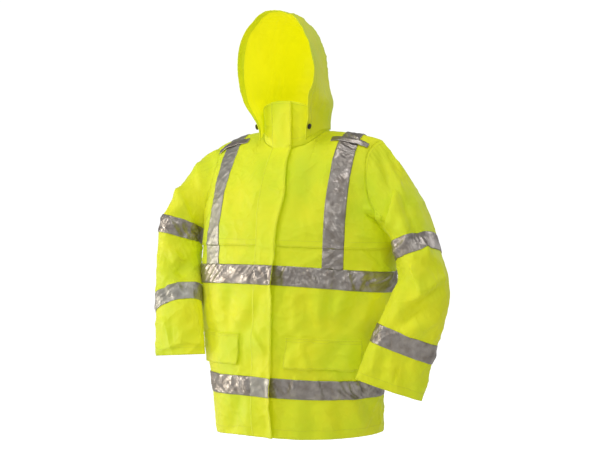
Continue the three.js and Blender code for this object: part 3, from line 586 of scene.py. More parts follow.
SLEEVE_CREASES = {
    "left": [
        (393, 238, 397, 260, 2.4, 5.0, 0), (421, 236, 428, 256, 2.4, 5.0, 0),
        (366, 212, 385, 223, 6, 10.9, -1), (384, 226, 393, 193, 8, 15.0, 1), (384, 226, 392, 195, 2.8, -12.0, 0),
        (378, 152, 391, 192, 5, -7.0, 0), (371, 146, 384, 182, 6, 6.2, 0), (388, 150, 398, 172, 4, -4.7, 0),
        (387, 160, 426, 236, 3, 3.4, 0), (403, 196, 419, 236, 7, -9.3, 0), (396, 196, 406, 236, 6, 7.0, 0),
        (393, 232, 400, 244, 5, -4.7, 0), (394, 260, 404, 284, 6, -6.2, 0), (409, 266, 420, 294, 7, 11.6, -1),
        (399, 301, 421, 297, 4, 7.8, 1), (397, 280, 399, 322, 7, 6.2, 0), (402, 312, 442, 283, 8, 9.3, -1),
        (397, 326, 447, 284, 6, -12.4, 0), (404, 334, 440, 318, 7, 7.8, 0), (424, 258, 443, 276, 7, -7.8, 0),
        (423, 242, 430, 262, 6, 5.4, 0), (377, 346, 371, 372, 4, 5.4, 0), (384, 352, 381, 380, 5, -5.4, 0),
        (391, 364, 398, 392, 6, 5.4, 0), (410, 362, 420, 394, 7, 6.2, 0), (404, 360, 408, 396, 6, -5.4, 0),
        (398, 368, 394, 381, 1.6, -7.5, 0), (380, 366, 396, 370, 3, 3.1, 0)],
    "right": [
        (180, 187, 198, 233, 6, 10.9, 1), (188, 176, 203, 226, 6, -6.2, 0), (172, 178, 181, 206, 6, 6.2, 0),
        (198, 160, 206, 206, 7, 6.2, 0), (212, 152, 207, 190, 7, -5.4, 0), (164, 214, 176, 232, 6, 5.4, 0),
        (163, 257, 186, 276, 5, -10.9, 0), (160, 276, 179, 255, 6, 8.5, 0), (188, 244, 200, 290, 7, 8.5, 0),
        (168, 250, 184, 264, 5, 7.0, -1), (160, 284, 172, 298, 5, -7.8, 0), (166, 293, 182, 288, 5, 7.0, 0),
        (192, 232, 203, 250, 6, 7.8, 1), (163, 318, 168, 344, 8, 6.2, 0), (187, 318, 203, 338, 6, -7.8, 0),
        (176, 322, 184, 344, 6, 5.4, 0), (157, 353, 184, 344, 4, 6.2, -1), (184, 344, 203, 345, 4, 4.7, -1)]}


def sleeve_line(side):
    """The sleeve's middle line: a smooth curve through the ring centres, each stretch timed by the
    square root of its length, sampled finely, with its direction, its share of the rings and its length."""
    centres = SLEEVES[side][:, :3] * [1 if side == "left" else -1, 1, 1]
    ends = np.vstack([2 * centres[0] - centres[1], centres, 2 * centres[-1] - centres[-2]])
    t = np.linspace(0, len(centres) - 1, 601)
    i = np.minimum(t.astype(int), len(centres) - 2)
    w = (t - i)[:, None]
    p = [ends[i + k] for k in range(4)]
    dt = [np.linalg.norm(p[k + 1] - p[k], axis=1, keepdims=True) ** 0.5 for k in range(3)]
    leave = ((p[1] - p[0]) / dt[0] - (p[2] - p[0]) / (dt[0] + dt[1]) + (p[2] - p[1]) / dt[1]) * dt[1]
    reach = ((p[2] - p[1]) / dt[1] - (p[3] - p[1]) / (dt[1] + dt[2]) + (p[3] - p[2]) / dt[2]) * dt[1]
    line = (p[1] + leave * w + (3 * (p[2] - p[1]) - 2 * leave - reach) * w**2
            + (2 * (p[1] - p[2]) + leave + reach) * w**3)
    far = np.append(0, np.linalg.norm(np.diff(line, axis=0), axis=1).cumsum())
    way = np.gradient(line, axis=0)
    return line, way / np.linalg.norm(way, axis=1, keepdims=True), t / (len(centres) - 1), far


def sleeve_rings(side, turned, distance):
    """Oval rings of the sleeve at distances down its middle line, as broad and deep and turned as the
    table's rings: the centre less broad times cosine, plus deep times sine, of the angle turned."""
    line, way, share, far = sleeve_line(side)
    at = np.interp(distance, far, np.arange(len(far)))
    pick = lambda values: np.stack([np.interp(at, np.arange(len(far)), values[:, k]) for k in range(3)], axis=1)
    centre, along, t = pick(line), pick(way), np.interp(distance, far, share)
    table = np.column_stack([np.linspace(0, 1, len(SLEEVES[side])), SLEEVES[side][:, 3:]])
    turn = np.radians(smooth_column(table, 1, t))
    sign = 1 if side == "left" else -1
    broad = np.stack([sign * np.cos(turn), np.sin(turn), np.zeros_like(turn)], axis=1)
    broad -= along * (broad * along).sum(axis=1, keepdims=True)
    broad /= np.linalg.norm(broad, axis=1, keepdims=True)
    deep = np.cross(along, broad)
    deep *= -np.sign(deep[:, 1:2])
    breadth, depth = smooth_column(table, 2, t), smooth_column(table, 3, t)
    return (centre[:, None] - np.cos(turned)[None, :, None] * (broad * breadth[:, None])[:, None]
            + np.sin(turned)[None, :, None] * (deep * depth[:, None])[:, None])


TURN_OF_ROW = np.array([[0, 0], [.1, 1], [.22, 2], [.35, 3], [.48, 4], [.6, 5], [.71, 6], [.8, 7], [.88, 8],
                        [.94, 9], [1, 10]], float)
sleeves = {}
for side in ("left", "right"):
    up_rows = ROWS >= 0
    front_turn = smooth_column(TURN_OF_ROW, 1, ROWS[up_rows]) * math.pi / 10
    turned = np.concatenate([front_turn, 2 * math.pi - front_turn[-2:0:-1]])
    hole = np.concatenate([body[side, "front"][0][up_rows, -1], body[side, "back"][0][up_rows, -1][-2:0:-1]])
    length = sleeve_line(side)[3][-1]
    upper, lower = SLEEVE_TAPES[side]
    stations = lines([upper - 25, upper + 25, lower - 25, lower + 25, length - 34, length - 20, length], 4)
    tube = sleeve_rings(side, turned, stations)
    line, way, share, far = sleeve_line(side)
    along = np.array([np.interp(stations[0], far, way[:, k]) for k in range(3)])
    t = np.linspace(0, 1, 30, endpoint=False)[:, None, None]
    reach = np.linalg.norm(tube[0] - hole, axis=1)[None, :, None]
    fall = np.radians(HEAD_FALL[side][0] + (HEAD_FALL[side][1] - HEAD_FALL[side][0]) * (1 - np.cos(turned)) / 2)
    sign = 1 if side == "left" else -1
    leave = np.stack([sign * np.cos(fall), 0 * fall, -np.sin(fall)], axis=1)[None]
    head = (hole * (2 * t**3 - 3 * t**2 + 1) + leave * reach * (t**3 - 2 * t**2 + t)
            + tube[0] * (3 * t**2 - 2 * t**3) + along * reach * (t**3 - t**2))
    points = np.concatenate([head, tube])
    out = grid_normals(points, True)
    out *= np.sign((out * (points - points.mean(axis=1, keepdims=True))).sum())
    ease = np.clip(np.arange(len(points)) / 5, 0, 1)[:, None]
    move = creases(points, out, SLEEVE_CREASES[side]) + crumple(points, 21, 120, 2.6) + crumple(points, 5, 46, 1.2)
    points = points + out * (move * ease - 0.15 * np.exp(-(edge_distance(points, "bottom") / 3) ** 2))[..., None]
    points[0] = hole
    out = grid_normals(points, True)
    out *= np.sign((out * (points - points.mean(axis=1, keepdims=True))).sum())
    sleeves[side] = {"points": points, "out": out, "at": np.append(np.full(30, -1.0), stations)}
    sleeve = cloth_piece(f"sleeve_{side}_cloth", points, out, CLOTH, hi_vis, closed=True)
    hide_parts(f"sleeve_{side}")
    round_points, round_out = (np.concatenate([a, a[:, :1]], axis=1) for a in (points, out))
    seam = stitches(f"sleeve_{side}_sewing", [
        beside(round_points, round_out, "top", 20), beside(round_points, round_out, "bottom", 6)], yellow_thread)

# Zip: two rows of moulded teeth on a narrow woven tape, closed, and hidden by the storm flap in front.
# It shows only on the inside of the jacket.
zip_points = np.concatenate([body["right", "front"][0][:, panel_columns("front", 0, 10)][:, ::-1],
                             body["left", "front"][0][:, panel_columns("front", 0, 10)][:, 1:]], axis=1)
zip_out = np.concatenate([body["right", "front"][1][:, panel_columns("front", 0, 10)][:, ::-1],
                          body["left", "front"][1][:, panel_columns("front", 0, 10)][:, 1:]], axis=1)
zip_tape = cloth_piece("zip_tape", zip_points, zip_out, 1.2, hi_vis)
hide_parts("zip")
middle, ahead = zip_points[:, zip_points.shape[1] // 2], zip_out[:, zip_out.shape[1] // 2]
teeth = stitches("zip_teeth", [(middle + [s * 1.8, 0, 0] - ahead * 1.8, ahead) for s in (-1, 1)],
                 yellow_thread, pitch=4.2, length=2.4, thick=1.3)

# Reflective tape: silver glass-bead film on a woven backing, sewn flat, and lightly crinkled by wear.
# One runs round the waist and one round the hem, and each ends at the storm flap's seam.
TAPE = 0.8


def reflective_film(name, light, deep, rub=1.0):
    """Glass-bead film: silver grey with a fine bead grain, darker and lighter patches that follow its
    crease bump as painted shade and painted highlight, a metal gloss, and small creases in its bump."""
    material = bpy.data.materials.new(name)
    material.use_nodes = True
    tree = material.node_tree
    shader = tree.nodes["Principled BSDF"]
    place, along = tree.nodes.new("ShaderNodeTexCoord"), tree.nodes.new("ShaderNodeUVMap")
    along.uv_map = "cloth"
    streaks = tree.nodes.new("ShaderNodeTexNoise")
    streaks.inputs["Scale"].default_value, streaks.inputs["Detail"].default_value = 42, 5
    streaks.inputs["Distortion"].default_value = 0.3
    link(tree, along, "UV", streaks, "Vector")
    beads = tree.nodes.new("ShaderNodeTexVoronoi")
    beads.inputs["Scale"].default_value = 1400
    link(tree, along, "UV", beads, "Vector")
    # Painted shade and highlight: the ramp darkens the film where its crease bump is low and lightens it where the
    # bump is high.
    ramp = tree.nodes.new("ShaderNodeValToRGB")
    ramp.color_ramp.elements[0].position, ramp.color_ramp.elements[0].color = 0.32, (*deep, 1)
    ramp.color_ramp.elements[1].position, ramp.color_ramp.elements[1].color = 0.70, (*light, 1)
    link(tree, streaks, "Fac", ramp, "Fac")
    link(tree, ramp, "Color", shader, "Base Color")
    rough = tree.nodes.new("ShaderNodeMapRange")
    rough.inputs["To Min"].default_value = 0.60 - 0.15 * rub
    rough.inputs["To Max"].default_value = 0.50 - 0.17 * rub
    link(tree, streaks, "Fac", rough, "Value")
    link(tree, rough, "Result", shader, "Roughness")
    crease, grain = tree.nodes.new("ShaderNodeBump"), tree.nodes.new("ShaderNodeBump")
    crease.inputs["Strength"].default_value, crease.inputs["Distance"].default_value = 0.5 * rub, 0.0008
    grain.inputs["Strength"].default_value, grain.inputs["Distance"].default_value = 0.2, 0.0001
    link(tree, streaks, "Fac", crease, "Height")
    link(tree, beads, "Distance", grain, "Height")
    link(tree, crease, "Normal", grain, "Normal")
    link(tree, grain, "Normal", shader, "Normal")
    shader.inputs["Metallic"].default_value = 0.82
    return material


# Both films paint shade and highlight into their crinkles. The smooth one has less of that painted shade and a
# lighter deep tone, painted light for tapes on the side the key light falls on.
silver = reflective_film("reflective_film", (0.46, 0.42, 0.395), (0.27, 0.235, 0.21))
smooth_silver = reflective_film("smooth_reflective_film", (0.46, 0.45, 0.42), (0.35, 0.335, 0.30), 0.35)
tape_thread = sewing_thread("tape_thread", (0.36, 0.36, 0.30))


def finer(grid):
    """The same grid with a place put in half way between each two neighbours, both ways."""
    for axis in (0, 1):
        grid = np.moveaxis(grid, axis, 0)
        both = np.empty((2 * len(grid) - 1, *grid.shape[1:]))
        both[::2], both[1::2] = grid, (grid[1:] + grid[:-1]) / 2
        grid = np.moveaxis(both, 0, axis)
    return grid


def crinkled(points, out, lift, seed, worn=1.0):
    """Tape laid over cloth at a height above it: creased in slanting ridges of three sizes, each one minus
    the size of a bent wave, strong in some stretches and flat in others, and lying down at both edges."""
    points, out = finer(points), finer(out)
    rng = np.random.default_rng(seed)
    far, across = edge_distance(points, "first"), edge_distance(points, "bottom")
    height = 0
    for long, high in ((40, 2.8), (23, 2.0), (12, 0.9)):
        slant, phase = rng.uniform(-1.1, 1.1), rng.uniform(0, 6.28, 3)
        wave = np.sin((far + slant * across) * 3.14 / long + 1.6 * np.sin(far / long + phase[0])
                      + 0.9 * np.sin(across / 16 + far / (3 * long) + phase[1]))
        height = height + high * (1 - np.abs(wave)) * (0.55 + 0.45 * np.sin(far / (1.9 * long) + phase[2]))
    held = np.sin(np.pi * np.clip(across / across.max(), 0, 1)) ** 0.5
    lift = finer(lift) if np.ndim(lift) == 2 else lift
    return points + out * (lift + worn * height * held)[..., None], out


def round_the_body(rows):
    """Rows of the body all the way round, from the left front edge past both side seams to the storm
    flap's seam on the right front."""
    f, b = panel_columns("front", 10, 300), panel_columns("back", 0, 300)
    g = panel_columns("front", 38, 300)
    parts = []
    for k in (0, 1):
        parts.append(np.concatenate([
            body["left", "front"][k][rows][:, f], body["left", "back"][k][rows][:, b][:, -2::-1],
            body["right", "back"][k][rows][:, b][:, 1:-1], body["right", "front"][k][rows][:, g][:, ::-1]], axis=1))
    return parts


for name, levels, seed, length in (("waist_tape", (-132, -82), 3, 1.42), ("hem_tape", (-419, -369), 8, 1.33)):
    points, out = round_the_body(panel_rows(*levels))
    points, out = crinkled(points, out, 1.2, seed)
    band = cloth_piece(f"{name}_film", points, out, TAPE, silver)
    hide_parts(name)
    seam = stitches(f"{name}_sewing", [beside(points, out, "bottom", 3), beside(points, out, "top", 3)], tape_thread)

# Yoke halves: a loose cape over the chest, sewn at the shoulder, the armhole and the front edge.
# Its lower edge is hemmed and hangs free over the chest.
YOKE = 1.2


def yoke_lift(c, row):
    """Height of the yoke's outer face over the front: a steady 1.8, more along the free lower edge, and
    falling to a fraction at the storm flap's seam and at the armhole, where it is sewn in."""
    low = np.clip(1 - (row + 34) / 34, 0, 1) ** 1.5
    sewn = np.minimum(np.clip((c - 30) / 16, 0, 1), np.clip((300 - c) / 14, 0, 1))
    return 0.3 + (1.5 + 0.8 * low[:, None]) * sewn[None] ** 0.7


for side in ("left", "right"):
    rows = panel_rows(-34, 1)
    cols = panel_columns("front", 10 if side == "left" else 27, 300)
    points, out = (a[rows][:, cols] for a in body[side, "front"])
    lift = yoke_lift(ACROSS["front"][cols], ROWS[rows])
    points = (points + out * lift[..., None])[:-1]
    out = out[:-1]
    yoke = cloth_piece(f"yoke_{side}_cloth", points, out, YOKE, hi_vis)
    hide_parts(f"yoke_{side}")
    seam = stitches(f"yoke_{side}_sewing", [
        beside(points, out, "bottom", 18), beside(points, out, "bottom", 3)], yellow_thread)

# Brace tapes: a short length of tape from the waist tape up under the yoke, and a long one that starts
# at the yoke's lower edge, runs over the shoulder, and goes down the back to the waist tape.
# The right one is nearly smooth, and the left one is creased.
WORN = {"left": 1.0, "right": 0.3}
# The right brace's smooth film is also lighter: painted light for the side the key light falls on.
FILM = {"left": silver, "right": smooth_silver}
for side in ("left", "right"):
    cols, back_cols = panel_columns("front", 150, 200), panel_columns("back", 150, 200)
    rows = panel_rows(-82, -30)
    points, out = (a[rows][:, cols] for a in body[side, "front"])
    points, out = crinkled(np.swapaxes(points, 0, 1), np.swapaxes(out, 0, 1), 1.2, 12, WORN[side])
    points, out = np.swapaxes(points, 0, 1), np.swapaxes(out, 0, 1)
    short = cloth_piece(f"brace_{side}_low_film", points, out, TAPE, FILM[side])
    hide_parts(f"brace_tape_front_{side}")
    rows = panel_rows(-34, 1)
    back_rows = panel_rows(-82, 1)
    lift = yoke_lift(ACROSS["front"][cols], ROWS[rows]) + 1.2
    front_points, front_out = (a[rows][:, cols] for a in body[side, "front"])
    behind, behind_out = (a[back_rows][:, back_cols][::-1][1:] for a in body[side, "back"])
    height = 1.3 + 2.0 * np.clip((ROWS[back_rows][::-1][1:] - 0.8) / 0.2, 0, 1)[:, None] * np.ones(back_cols.sum())
    points = np.concatenate([front_points, behind])
    out = np.concatenate([front_out, behind_out])
    lift = np.concatenate([lift, height])
    points, out = crinkled(np.swapaxes(points, 0, 1), np.swapaxes(out, 0, 1), lift.T, 31, WORN[side])
    points, out = np.swapaxes(points, 0, 1), np.swapaxes(out, 0, 1)
    long = cloth_piece(f"brace_{side}_film", points, out, TAPE, FILM[side])
    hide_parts(f"brace_tape_{side}")
    seam = stitches(f"brace_{side}_sewing", [beside(points, out, "first", 3), beside(points, out, "last", 3)],
                    tape_thread)

# Sleeve tapes: two bands of the same tape round each sleeve, over and under the elbow. Each keeps its
# width along the cloth all round, also where the sleeve bends.
for side in ("left", "right"):
    for place, middle in zip(("upper", "lower"), SLEEVE_TAPES[side]):
        points, out = (np.concatenate([sleeves[side][key], sleeves[side][key][:, :1]], axis=1)
                       for key in ("points", "out"))
        far = edge_distance(points, "bottom")
        down = far[np.abs(sleeves[side]["at"] - middle).argmin()] + np.linspace(-25, 25, 14)[:, None]
        if (side, place) == ("left", "upper"):
            down = down + 4 + 8 * np.clip(np.sin(np.linspace(0, 2 * math.pi, down.shape[1])), 0, 1)
        points, out = (np.stack([np.stack([np.interp(down[:, k], far[:, k], grid[:, k, axis])
                                           for axis in range(3)], axis=1) for k in range(far.shape[1])], axis=1)
                       for grid in (points, out))
        film, worn = (smooth_silver, 0.5) if (side, place) == ("right", "lower") else (silver, 0.8)
        points, out = crinkled(points, out, 1.2, 40 + len(place) + len(side), worn)
        points, out = points[:, :-1], out[:, :-1]
        band = cloth_piece(f"sleeve_{side}_{place}_film", points, out, TAPE, film, closed=True)
        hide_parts(f"sleeve_tape_{place}_{side}")

# Collar: a standing double collar of the same cloth, open at the zip, with a row of sewing round it.
COLLAR_TOP = {"front": 84, "side": 56, "back": 66}


def collar_cloth(side, face, c, up):
    """The collar stands straight up from the neckline: each place keeps its foot's plan, spread by up
    to 3 percent at the top, and its height blends from the foot to the top edge."""
    foot = body_cloth(side, face, c, [1])[0]
    turn = np.arcsin(np.minimum(1, np.asarray(c) / NECK_HALF))
    power = 1.5 if face == "front" else 1.0
    top = COLLAR_TOP["side"] + (COLLAR_TOP[face] - COLLAR_TOP["side"]) * np.cos(turn) ** power
    up = np.asarray(up, float)[:, None]
    spread = 1 + 0.03 * up**2
    z = foot[None, :, 2] + 1 + (top - foot[:, 2] - 1)[None] * up
    return np.stack([foot[None, :, 0] * spread, foot[None, :, 1] * spread, z], axis=2)


NECK_FRONT = np.concatenate([[0.01], lines([10, 27, 38, 62, 80], 3.5), [82, 84, 86, 87.3, 88]])
NECK_BACK = np.concatenate([[88, 87.3, 86, 84, 82], lines([0, 80], 3.5)[::-1]])
UPS = lines([0, 0.35, 0.7, 1], 0.05)
collar_parts = [collar_cloth("left", "front", NECK_FRONT, UPS), collar_cloth("left", "back", NECK_BACK[1:], UPS),
                collar_cloth("right", "back", NECK_BACK[1:-1][::-1], UPS),
                collar_cloth("right", "front", NECK_FRONT[::-1], UPS)]
collar_points = np.concatenate(collar_parts, axis=1)
collar_out = grid_normals(collar_points)
collar_out *= np.sign((collar_out[..., :2] * collar_points[..., :2]).sum())
collar_points = collar_points + collar_out * crumple(collar_points, 2, 60, 0.7)[..., None]
points, out = collar_points[:, 1:-1], collar_out[:, 1:-1]
collar = cloth_piece("collar_cloth", points, out, CLOTH, hi_vis)
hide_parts("collar")
seam = stitches("collar_sewing", [beside(points, out, "top", 5), beside(points, out, "bottom", 24)], yellow_thread)

# Hood: two halves sewn along the middle, standing open around the face, with a hem along the rim.
# Its foot runs round the neckline outside the collar, and its two front corners are held by studs.
# The inside has painted light: a warmer, brighter yellow and a strong glow of its own stand in for light that comes
# through the thin cloth.
# share of the way up, half width and y of the rim, half width of the side, y of the back
HOOD = np.array([[0, 72, -80, 99, 62], [.15, 94, -108, 108, 92], [.3, 111, -118, 90, 96],
                 [.45, 112, -122, 80, 104], [.6, 96, -124, 67, 105], [.75, 62, -126, 43, 110],
                 [.88, 33, -130, 27, 114], [1, 0, -132, 0, 115]], float)
HOOD_TOP = {"rim": 317, "back": 226, "middle": 14}
HOOD_ACROSS = [0, 0.09, 0.22, 0.36, 0.5, 0.63, 0.75, 0.87, 1]
HOOD_UP = [0, 0.12, 0.24, 0.36, 0.48, 0.6, 0.71, 0.81, 0.9, 1]
HOOD_CREASES = [
    (290, 13, 306, 21, 6, 7.7, 0), (323, 48, 327, 92, 5, -5.6, 0), (314, 60, 319, 110, 6, 6.3, 0),
    (310, 88, 322, 128, 6, -7.7, 0), (316, 118, 330, 134, 6, 6.3, 0), (303, 137, 316, 145, 3, -4.9, 0),
    (306, 134, 318, 138, 3, 4.2, 0), (308, 30, 322, 52, 6, -4.2, 0), (326, 96, 330, 124, 5, 4.9, 0),
    (306, 112, 312, 130, 4, 4.2, 0)]


def hood_cloth(side, p, s):
    """One half of the hood. p runs from the rim back to the middle seam and s from the foot up to the
    crown. Each level is a rounded quarter of the plan, pinched or spread at the rim, over a foot that
    follows the neckline; the heights follow a quarter sine from the foot to the sloping crown."""
    p, s = np.meshgrid(np.asarray(p, float), np.asarray(s, float))
    rim_x, rim_y, side_x, back_y = (smooth_column(HOOD, k, s) for k in (1, 2, 3, 4))
    around = p * math.pi / 2
    x = (side_x * np.maximum(0, np.cos(around)) ** (0.5 + 0.35 * s)
         + (rim_x - side_x) * np.maximum(0, 1 - p / 0.5) ** 2)
    y = rim_y + (back_y - rim_y) * np.sin(around) ** 0.95
    turn = -0.8 + (math.pi / 2 + 0.8) * p
    fx, fy = np.abs(np.cos(turn)) ** 0.8, np.sign(turn) * np.abs(np.sin(turn)) ** 0.8
    away = np.hypot(fx, fy)
    reach = np.where(turn < 0, NECK_DEPTH["front"], NECK_DEPTH["back"])
    low = np.where(turn < 0, 26 * np.abs(np.sin(turn)) ** 1.6, -3 * np.sin(turn))
    loose = np.maximum(0, 1 - p / 0.3) ** 2
    foot = [fx * NECK_HALF + fx / away * 3, fy * reach + fy / away * 3, 8 - low]
    foot = [a + (b - a) * loose for a, b in zip(foot, (70, -80, -20))]
    ease = np.minimum(1, s / 0.2)
    ease = ease**2 * (3 - 2 * ease)
    top = HOOD_TOP["rim"] + (HOOD_TOP["back"] - HOOD_TOP["rim"]) * p**1.2 + HOOD_TOP["middle"] * np.sin(math.pi * p)
    x, y = foot[0] + (x - foot[0]) * ease, foot[1] + (y - foot[1]) * ease
    z = foot[2] + (top - foot[2]) * np.sin(s * math.pi / 2)
    return np.stack([x if side == "left" else -x, y, z], axis=2)


# Painted light: a warmer, lighter yellow and a strong glow, for light coming through the hood's cloth.
hood_painted_glow_inside = coated_cloth("hood_painted_light_inside", (0.90, 0.80, 0.016), (0.86, 0.82, 0.014), 0.33, 0.2)
fine = np.interp(np.linspace(0, 8, 81), np.arange(9), HOOD_ACROSS)
rise = np.interp(np.linspace(0, 9, 91), np.arange(10), HOOD_UP)
hood = {}
for side in ("left", "right"):
    points = hood_cloth(side, fine, rise)
    out = grid_normals(points)
    out *= np.sign((out * (points - [0, 0, 120])).sum())
    out[:, -1, 0] = 0
    out[-1, :, 0] = 0
    out /= np.linalg.norm(out, axis=2, keepdims=True)
    move = creases(points, out, HOOD_CREASES) + crumple(points, 17, 90, 2.4) + crumple(points, 6, 42, 0.8)
    calm = np.clip(rise / 0.15, 0, 1)[:, None]
    rim = np.clip((20 - edge_distance(points, "first")) / 2, 0, 1)
    points = points + out * (move * calm + 0.9 * rim)[..., None]
    points = sewn_line(points, out, 1.3, 4, edge_distance(points, "last"))
    points = sewn_line(points, out, 1.3, 4, edge_distance(points, "top"))
    hood[side] = points, out
    hem = int((edge_distance(points, "first").mean(axis=0) < 20).sum())
    half = cloth_piece(f"hood_{side}_cloth", points, out, CLOTH, hi_vis, inside=hood_painted_glow_inside, hem=hem)
    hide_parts(f"hood_{side}")
    seam = stitches(f"hood_{side}_sewing", [
        beside(points, out, "first", 20), beside(points, out, "last", 6), beside(points, out, "top", 6)],
        yellow_thread)

# Storm flap: a double strip over the zip, sewn on the wearer's right, with a free edge on the left.
# It carries its own two lengths of tape, in line with the waist and hem tapes.
FLAP_EDGE = [-38, -27, -10, 10, 27]
FLAP_LIFT = [1.3, 2.4, 3.6, 5.4, 8.6]
flap_cols = panel_columns("front", 0, 38), panel_columns("front", 0, 27)
flap_points, flap_out = (np.concatenate([body["right", "front"][k][:, flap_cols[0]][:, ::-1],
                                         body["left", "front"][k][:, flap_cols[1]][:, 1:]], axis=1) for k in (0, 1))
flap_x = np.concatenate([-ACROSS["front"][flap_cols[0]][::-1], ACROSS["front"][flap_cols[1]][1:]])
flap_lift = np.interp(flap_x, FLAP_EDGE, FLAP_LIFT)
free = np.clip((flap_x - 6) / 21, 0, 1) ** 2
flap_points = flap_points.copy()     # the free edge swings out over the chest
flap_points[..., 0] += 15 * np.exp(-((flap_points[..., 2] + 165) / 55) ** 2) * np.clip((flap_x + 20) / 47, 0, 1)
wavy = 1 + 0.35 * np.sin(np.linspace(0, 19, len(ROWS)) + 0.6 * np.sin(np.linspace(0, 47, len(ROWS))))
gape = 14 * np.exp(-((ROWS + 125) / 42) ** 2) + 11 * np.exp(-((ROWS + 420) / 60) ** 2)
flap_base = flap_points + flap_out * (flap_lift[None] + (1.5 * wavy + gape)[:, None] * free[None])[..., None]
up_parts = [collar_cloth("right", "front", NECK_FRONT[NECK_FRONT <= 38][::-1], UPS[1:]),
            collar_cloth("left", "front", NECK_FRONT[NECK_FRONT <= 27][1:], UPS[1:])]
up_base = np.concatenate(up_parts, axis=1)
up_x = np.concatenate([-NECK_FRONT[NECK_FRONT <= 38][::-1], NECK_FRONT[NECK_FRONT <= 27][1:]])
up_out = -np.abs(grid_normals(up_base)) * [0, 1, 0]
up_out /= np.linalg.norm(up_out, axis=2, keepdims=True)
same = np.stack([np.stack([np.interp(flap_x, up_x, line[:, k]) for k in range(3)], axis=1) for line in up_base])
same_out = np.broadcast_to([0.0, -1.0, 0.0], same.shape)
same = same + same_out * (flap_lift + 1.5 * wavy[-1] * free)[None, :, None]
flap = np.concatenate([flap_base, same])
flap_face = np.concatenate([flap_out, same_out])
storm = cloth_piece("storm_flap_cloth", flap, flap_face, CLOTH, hi_vis)
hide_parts("storm_flap")
seam = stitches("storm_flap_sewing", [
    beside(flap, flap_face, "first", 4), beside(flap, flap_face, "last", 5),
    beside(flap, flap_face, "top", 5)], yellow_thread)
for name, levels, film, worn in (("flap_tape_waist", (-132, -82), silver, 1.0),
                                 ("flap_tape_hem", (-419, -369), smooth_silver, 0.3)):
    rows = panel_rows(*levels)
    points, out = crinkled(flap_base[rows], flap_out[rows], 1.1, 5, worn)
    band = cloth_piece(f"{name}_film", points, out, TAPE, film)
    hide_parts(name)

# Pocket flaps: a hemmed flap over each lower pocket, sewn along its top and standing off a little below.
for side in ("left", "right"):
    rows = panel_rows(-342, -261)
    cols = panel_columns("front", 62 if side == "left" else 82, 233.4)
    points, out = (a[rows][:, cols] for a in body[side, "front"])
    lift = np.interp(ROWS[rows], [-342, -301, -261], [5.2, 3.8, 1.9])[:, None] * np.ones(cols.sum())
    far = np.minimum(edge_distance(points, "first"), edge_distance(points, "last"))
    curl = np.clip(1 - far / 30, 0, 1) * np.clip(1 - edge_distance(points, "bottom") / 40, 0, 1)
    points = points + out * (lift + 1.5 * curl)[..., None]
    flap_piece = cloth_piece(f"pocket_flap_{side}_cloth", points, out, CLOTH, hi_vis)
    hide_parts(f"pocket_flap_{side}")
    seam = stitches(f"pocket_flap_{side}_sewing", [
        beside(points, out, edge, 4) for edge in ("first", "last", "bottom", "top")]
        + [beside(points, out, "top", 10)], yellow_thread)

# Radio tabs: a strap of reflective tape bowed across each brace tape, sewn at its two ends.
for side in ("left", "right"):
    rows = panel_rows(0.7349, 0.8001)
    cols = panel_columns("front", 126, 280)
    points, out = (a[rows][:, cols] for a in body[side, "front"])
    lift = np.interp(ACROSS["front"][cols], [124, 150, 175, 200, 240, 280], [3.6, 5.8, 7.4, 7.2, 6.4, 5.6])
    points = points + out * lift[None, :, None]
    tab = cloth_piece(f"radio_tab_{side}_film", points, out, 1.0, silver)
    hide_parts(f"radio_tab_{side}")

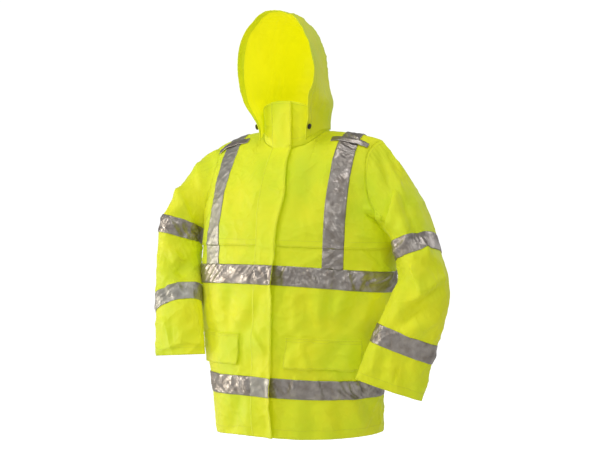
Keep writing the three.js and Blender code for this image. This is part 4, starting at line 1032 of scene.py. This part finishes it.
# Press studs: a black domed cap at each front corner of the hood, with a rolled rim.
stud_black = bpy.data.materials.new("stud_black")
stud_black.use_nodes = True
tree = stud_black.node_tree
shader = tree.nodes["Principled BSDF"]
place, worn = tree.nodes.new("ShaderNodeTexCoord"), tree.nodes.new("ShaderNodeTexNoise")
worn.inputs["Scale"].default_value = 260
ramp, rough = tree.nodes.new("ShaderNodeValToRGB"), tree.nodes.new("ShaderNodeMapRange")
ramp.color_ramp.elements[0].color, ramp.color_ramp.elements[1].color = (.012, .012, .013, 1), (.03, .03, .032, 1)
rough.inputs["To Min"].default_value, rough.inputs["To Max"].default_value = 0.2, 0.4
link(tree, place, "Object", worn, "Vector")
link(tree, worn, "Fac", ramp, "Fac")
link(tree, ramp, "Color", shader, "Base Color")
link(tree, worn, "Fac", rough, "Value")
link(tree, rough, "Result", shader, "Roughness")
CAP = np.array([[0, 2.9], [2.5, 2.8], [4.6, 2.4], [5.6, 1.9], [5.9, 1.5], [6.4, 1.9], [7.1, 1.8], [7.5, 1.2],
                [7.5, 0.4], [7.2, 0], [0, 0]], float)
for side in ("left", "right"):
    grid = hood_cloth(side, [0, 0.09], [0, 0.12])
    low, high = (np.array(corner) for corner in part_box(f"stud_{side}"))
    middle = (low + high) / 2 * 1000
    out = np.cross(grid[0, 1] - grid[0, 0], grid[1, 0] - grid[0, 0])
    out *= np.sign(out @ (middle - [0, 0, 120])) / np.linalg.norm(out)
    aside = np.cross(out, [0, 0, 1])
    aside /= np.linalg.norm(aside)
    over = np.cross(out, aside)
    round_cap = np.linspace(0, 2 * math.pi, 48, endpoint=False)[None, :, None]
    ring = (np.cos(round_cap) * aside + np.sin(round_cap) * over) * CAP[1:-1, 0][:, None, None]
    ring = ring + (middle + out * (CAP[1:-1, 1] - 1.0)[:, None])[:, None, :]
    tip, foot = middle + out * 1.9, middle - out * 1.0
    count = ring.shape[0] * 48
    places = np.vstack([ring.reshape(-1, 3), tip, foot]) / 1000
    i, j = np.meshgrid(np.arange(ring.shape[0] - 1), np.arange(48), indexing="ij")
    quads = np.stack([i * 48 + j, i * 48 + (j + 1) % 48, (i + 1) * 48 + (j + 1) % 48, (i + 1) * 48 + j], axis=2)
    j = np.arange(48)
    caps = [[a, (a + 1) % 48, count] for a in j], [[count - 48 + a, count - 48 + (a + 1) % 48, count + 1] for a in j]
    mesh = bpy.data.meshes.new(f"stud_{side}_cap")
    mesh.from_pydata(places.tolist(), [], quads.reshape(-1, 4).tolist() + caps[0] + [c[::-1] for c in caps[1]])
    mesh.materials.append(stud_black)
    cap = bpy.data.objects.new(f"stud_{side}_cap", mesh)
    bpy.context.collection.objects.link(cap)
    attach(cap, "root")
    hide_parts(f"stud_{side}")
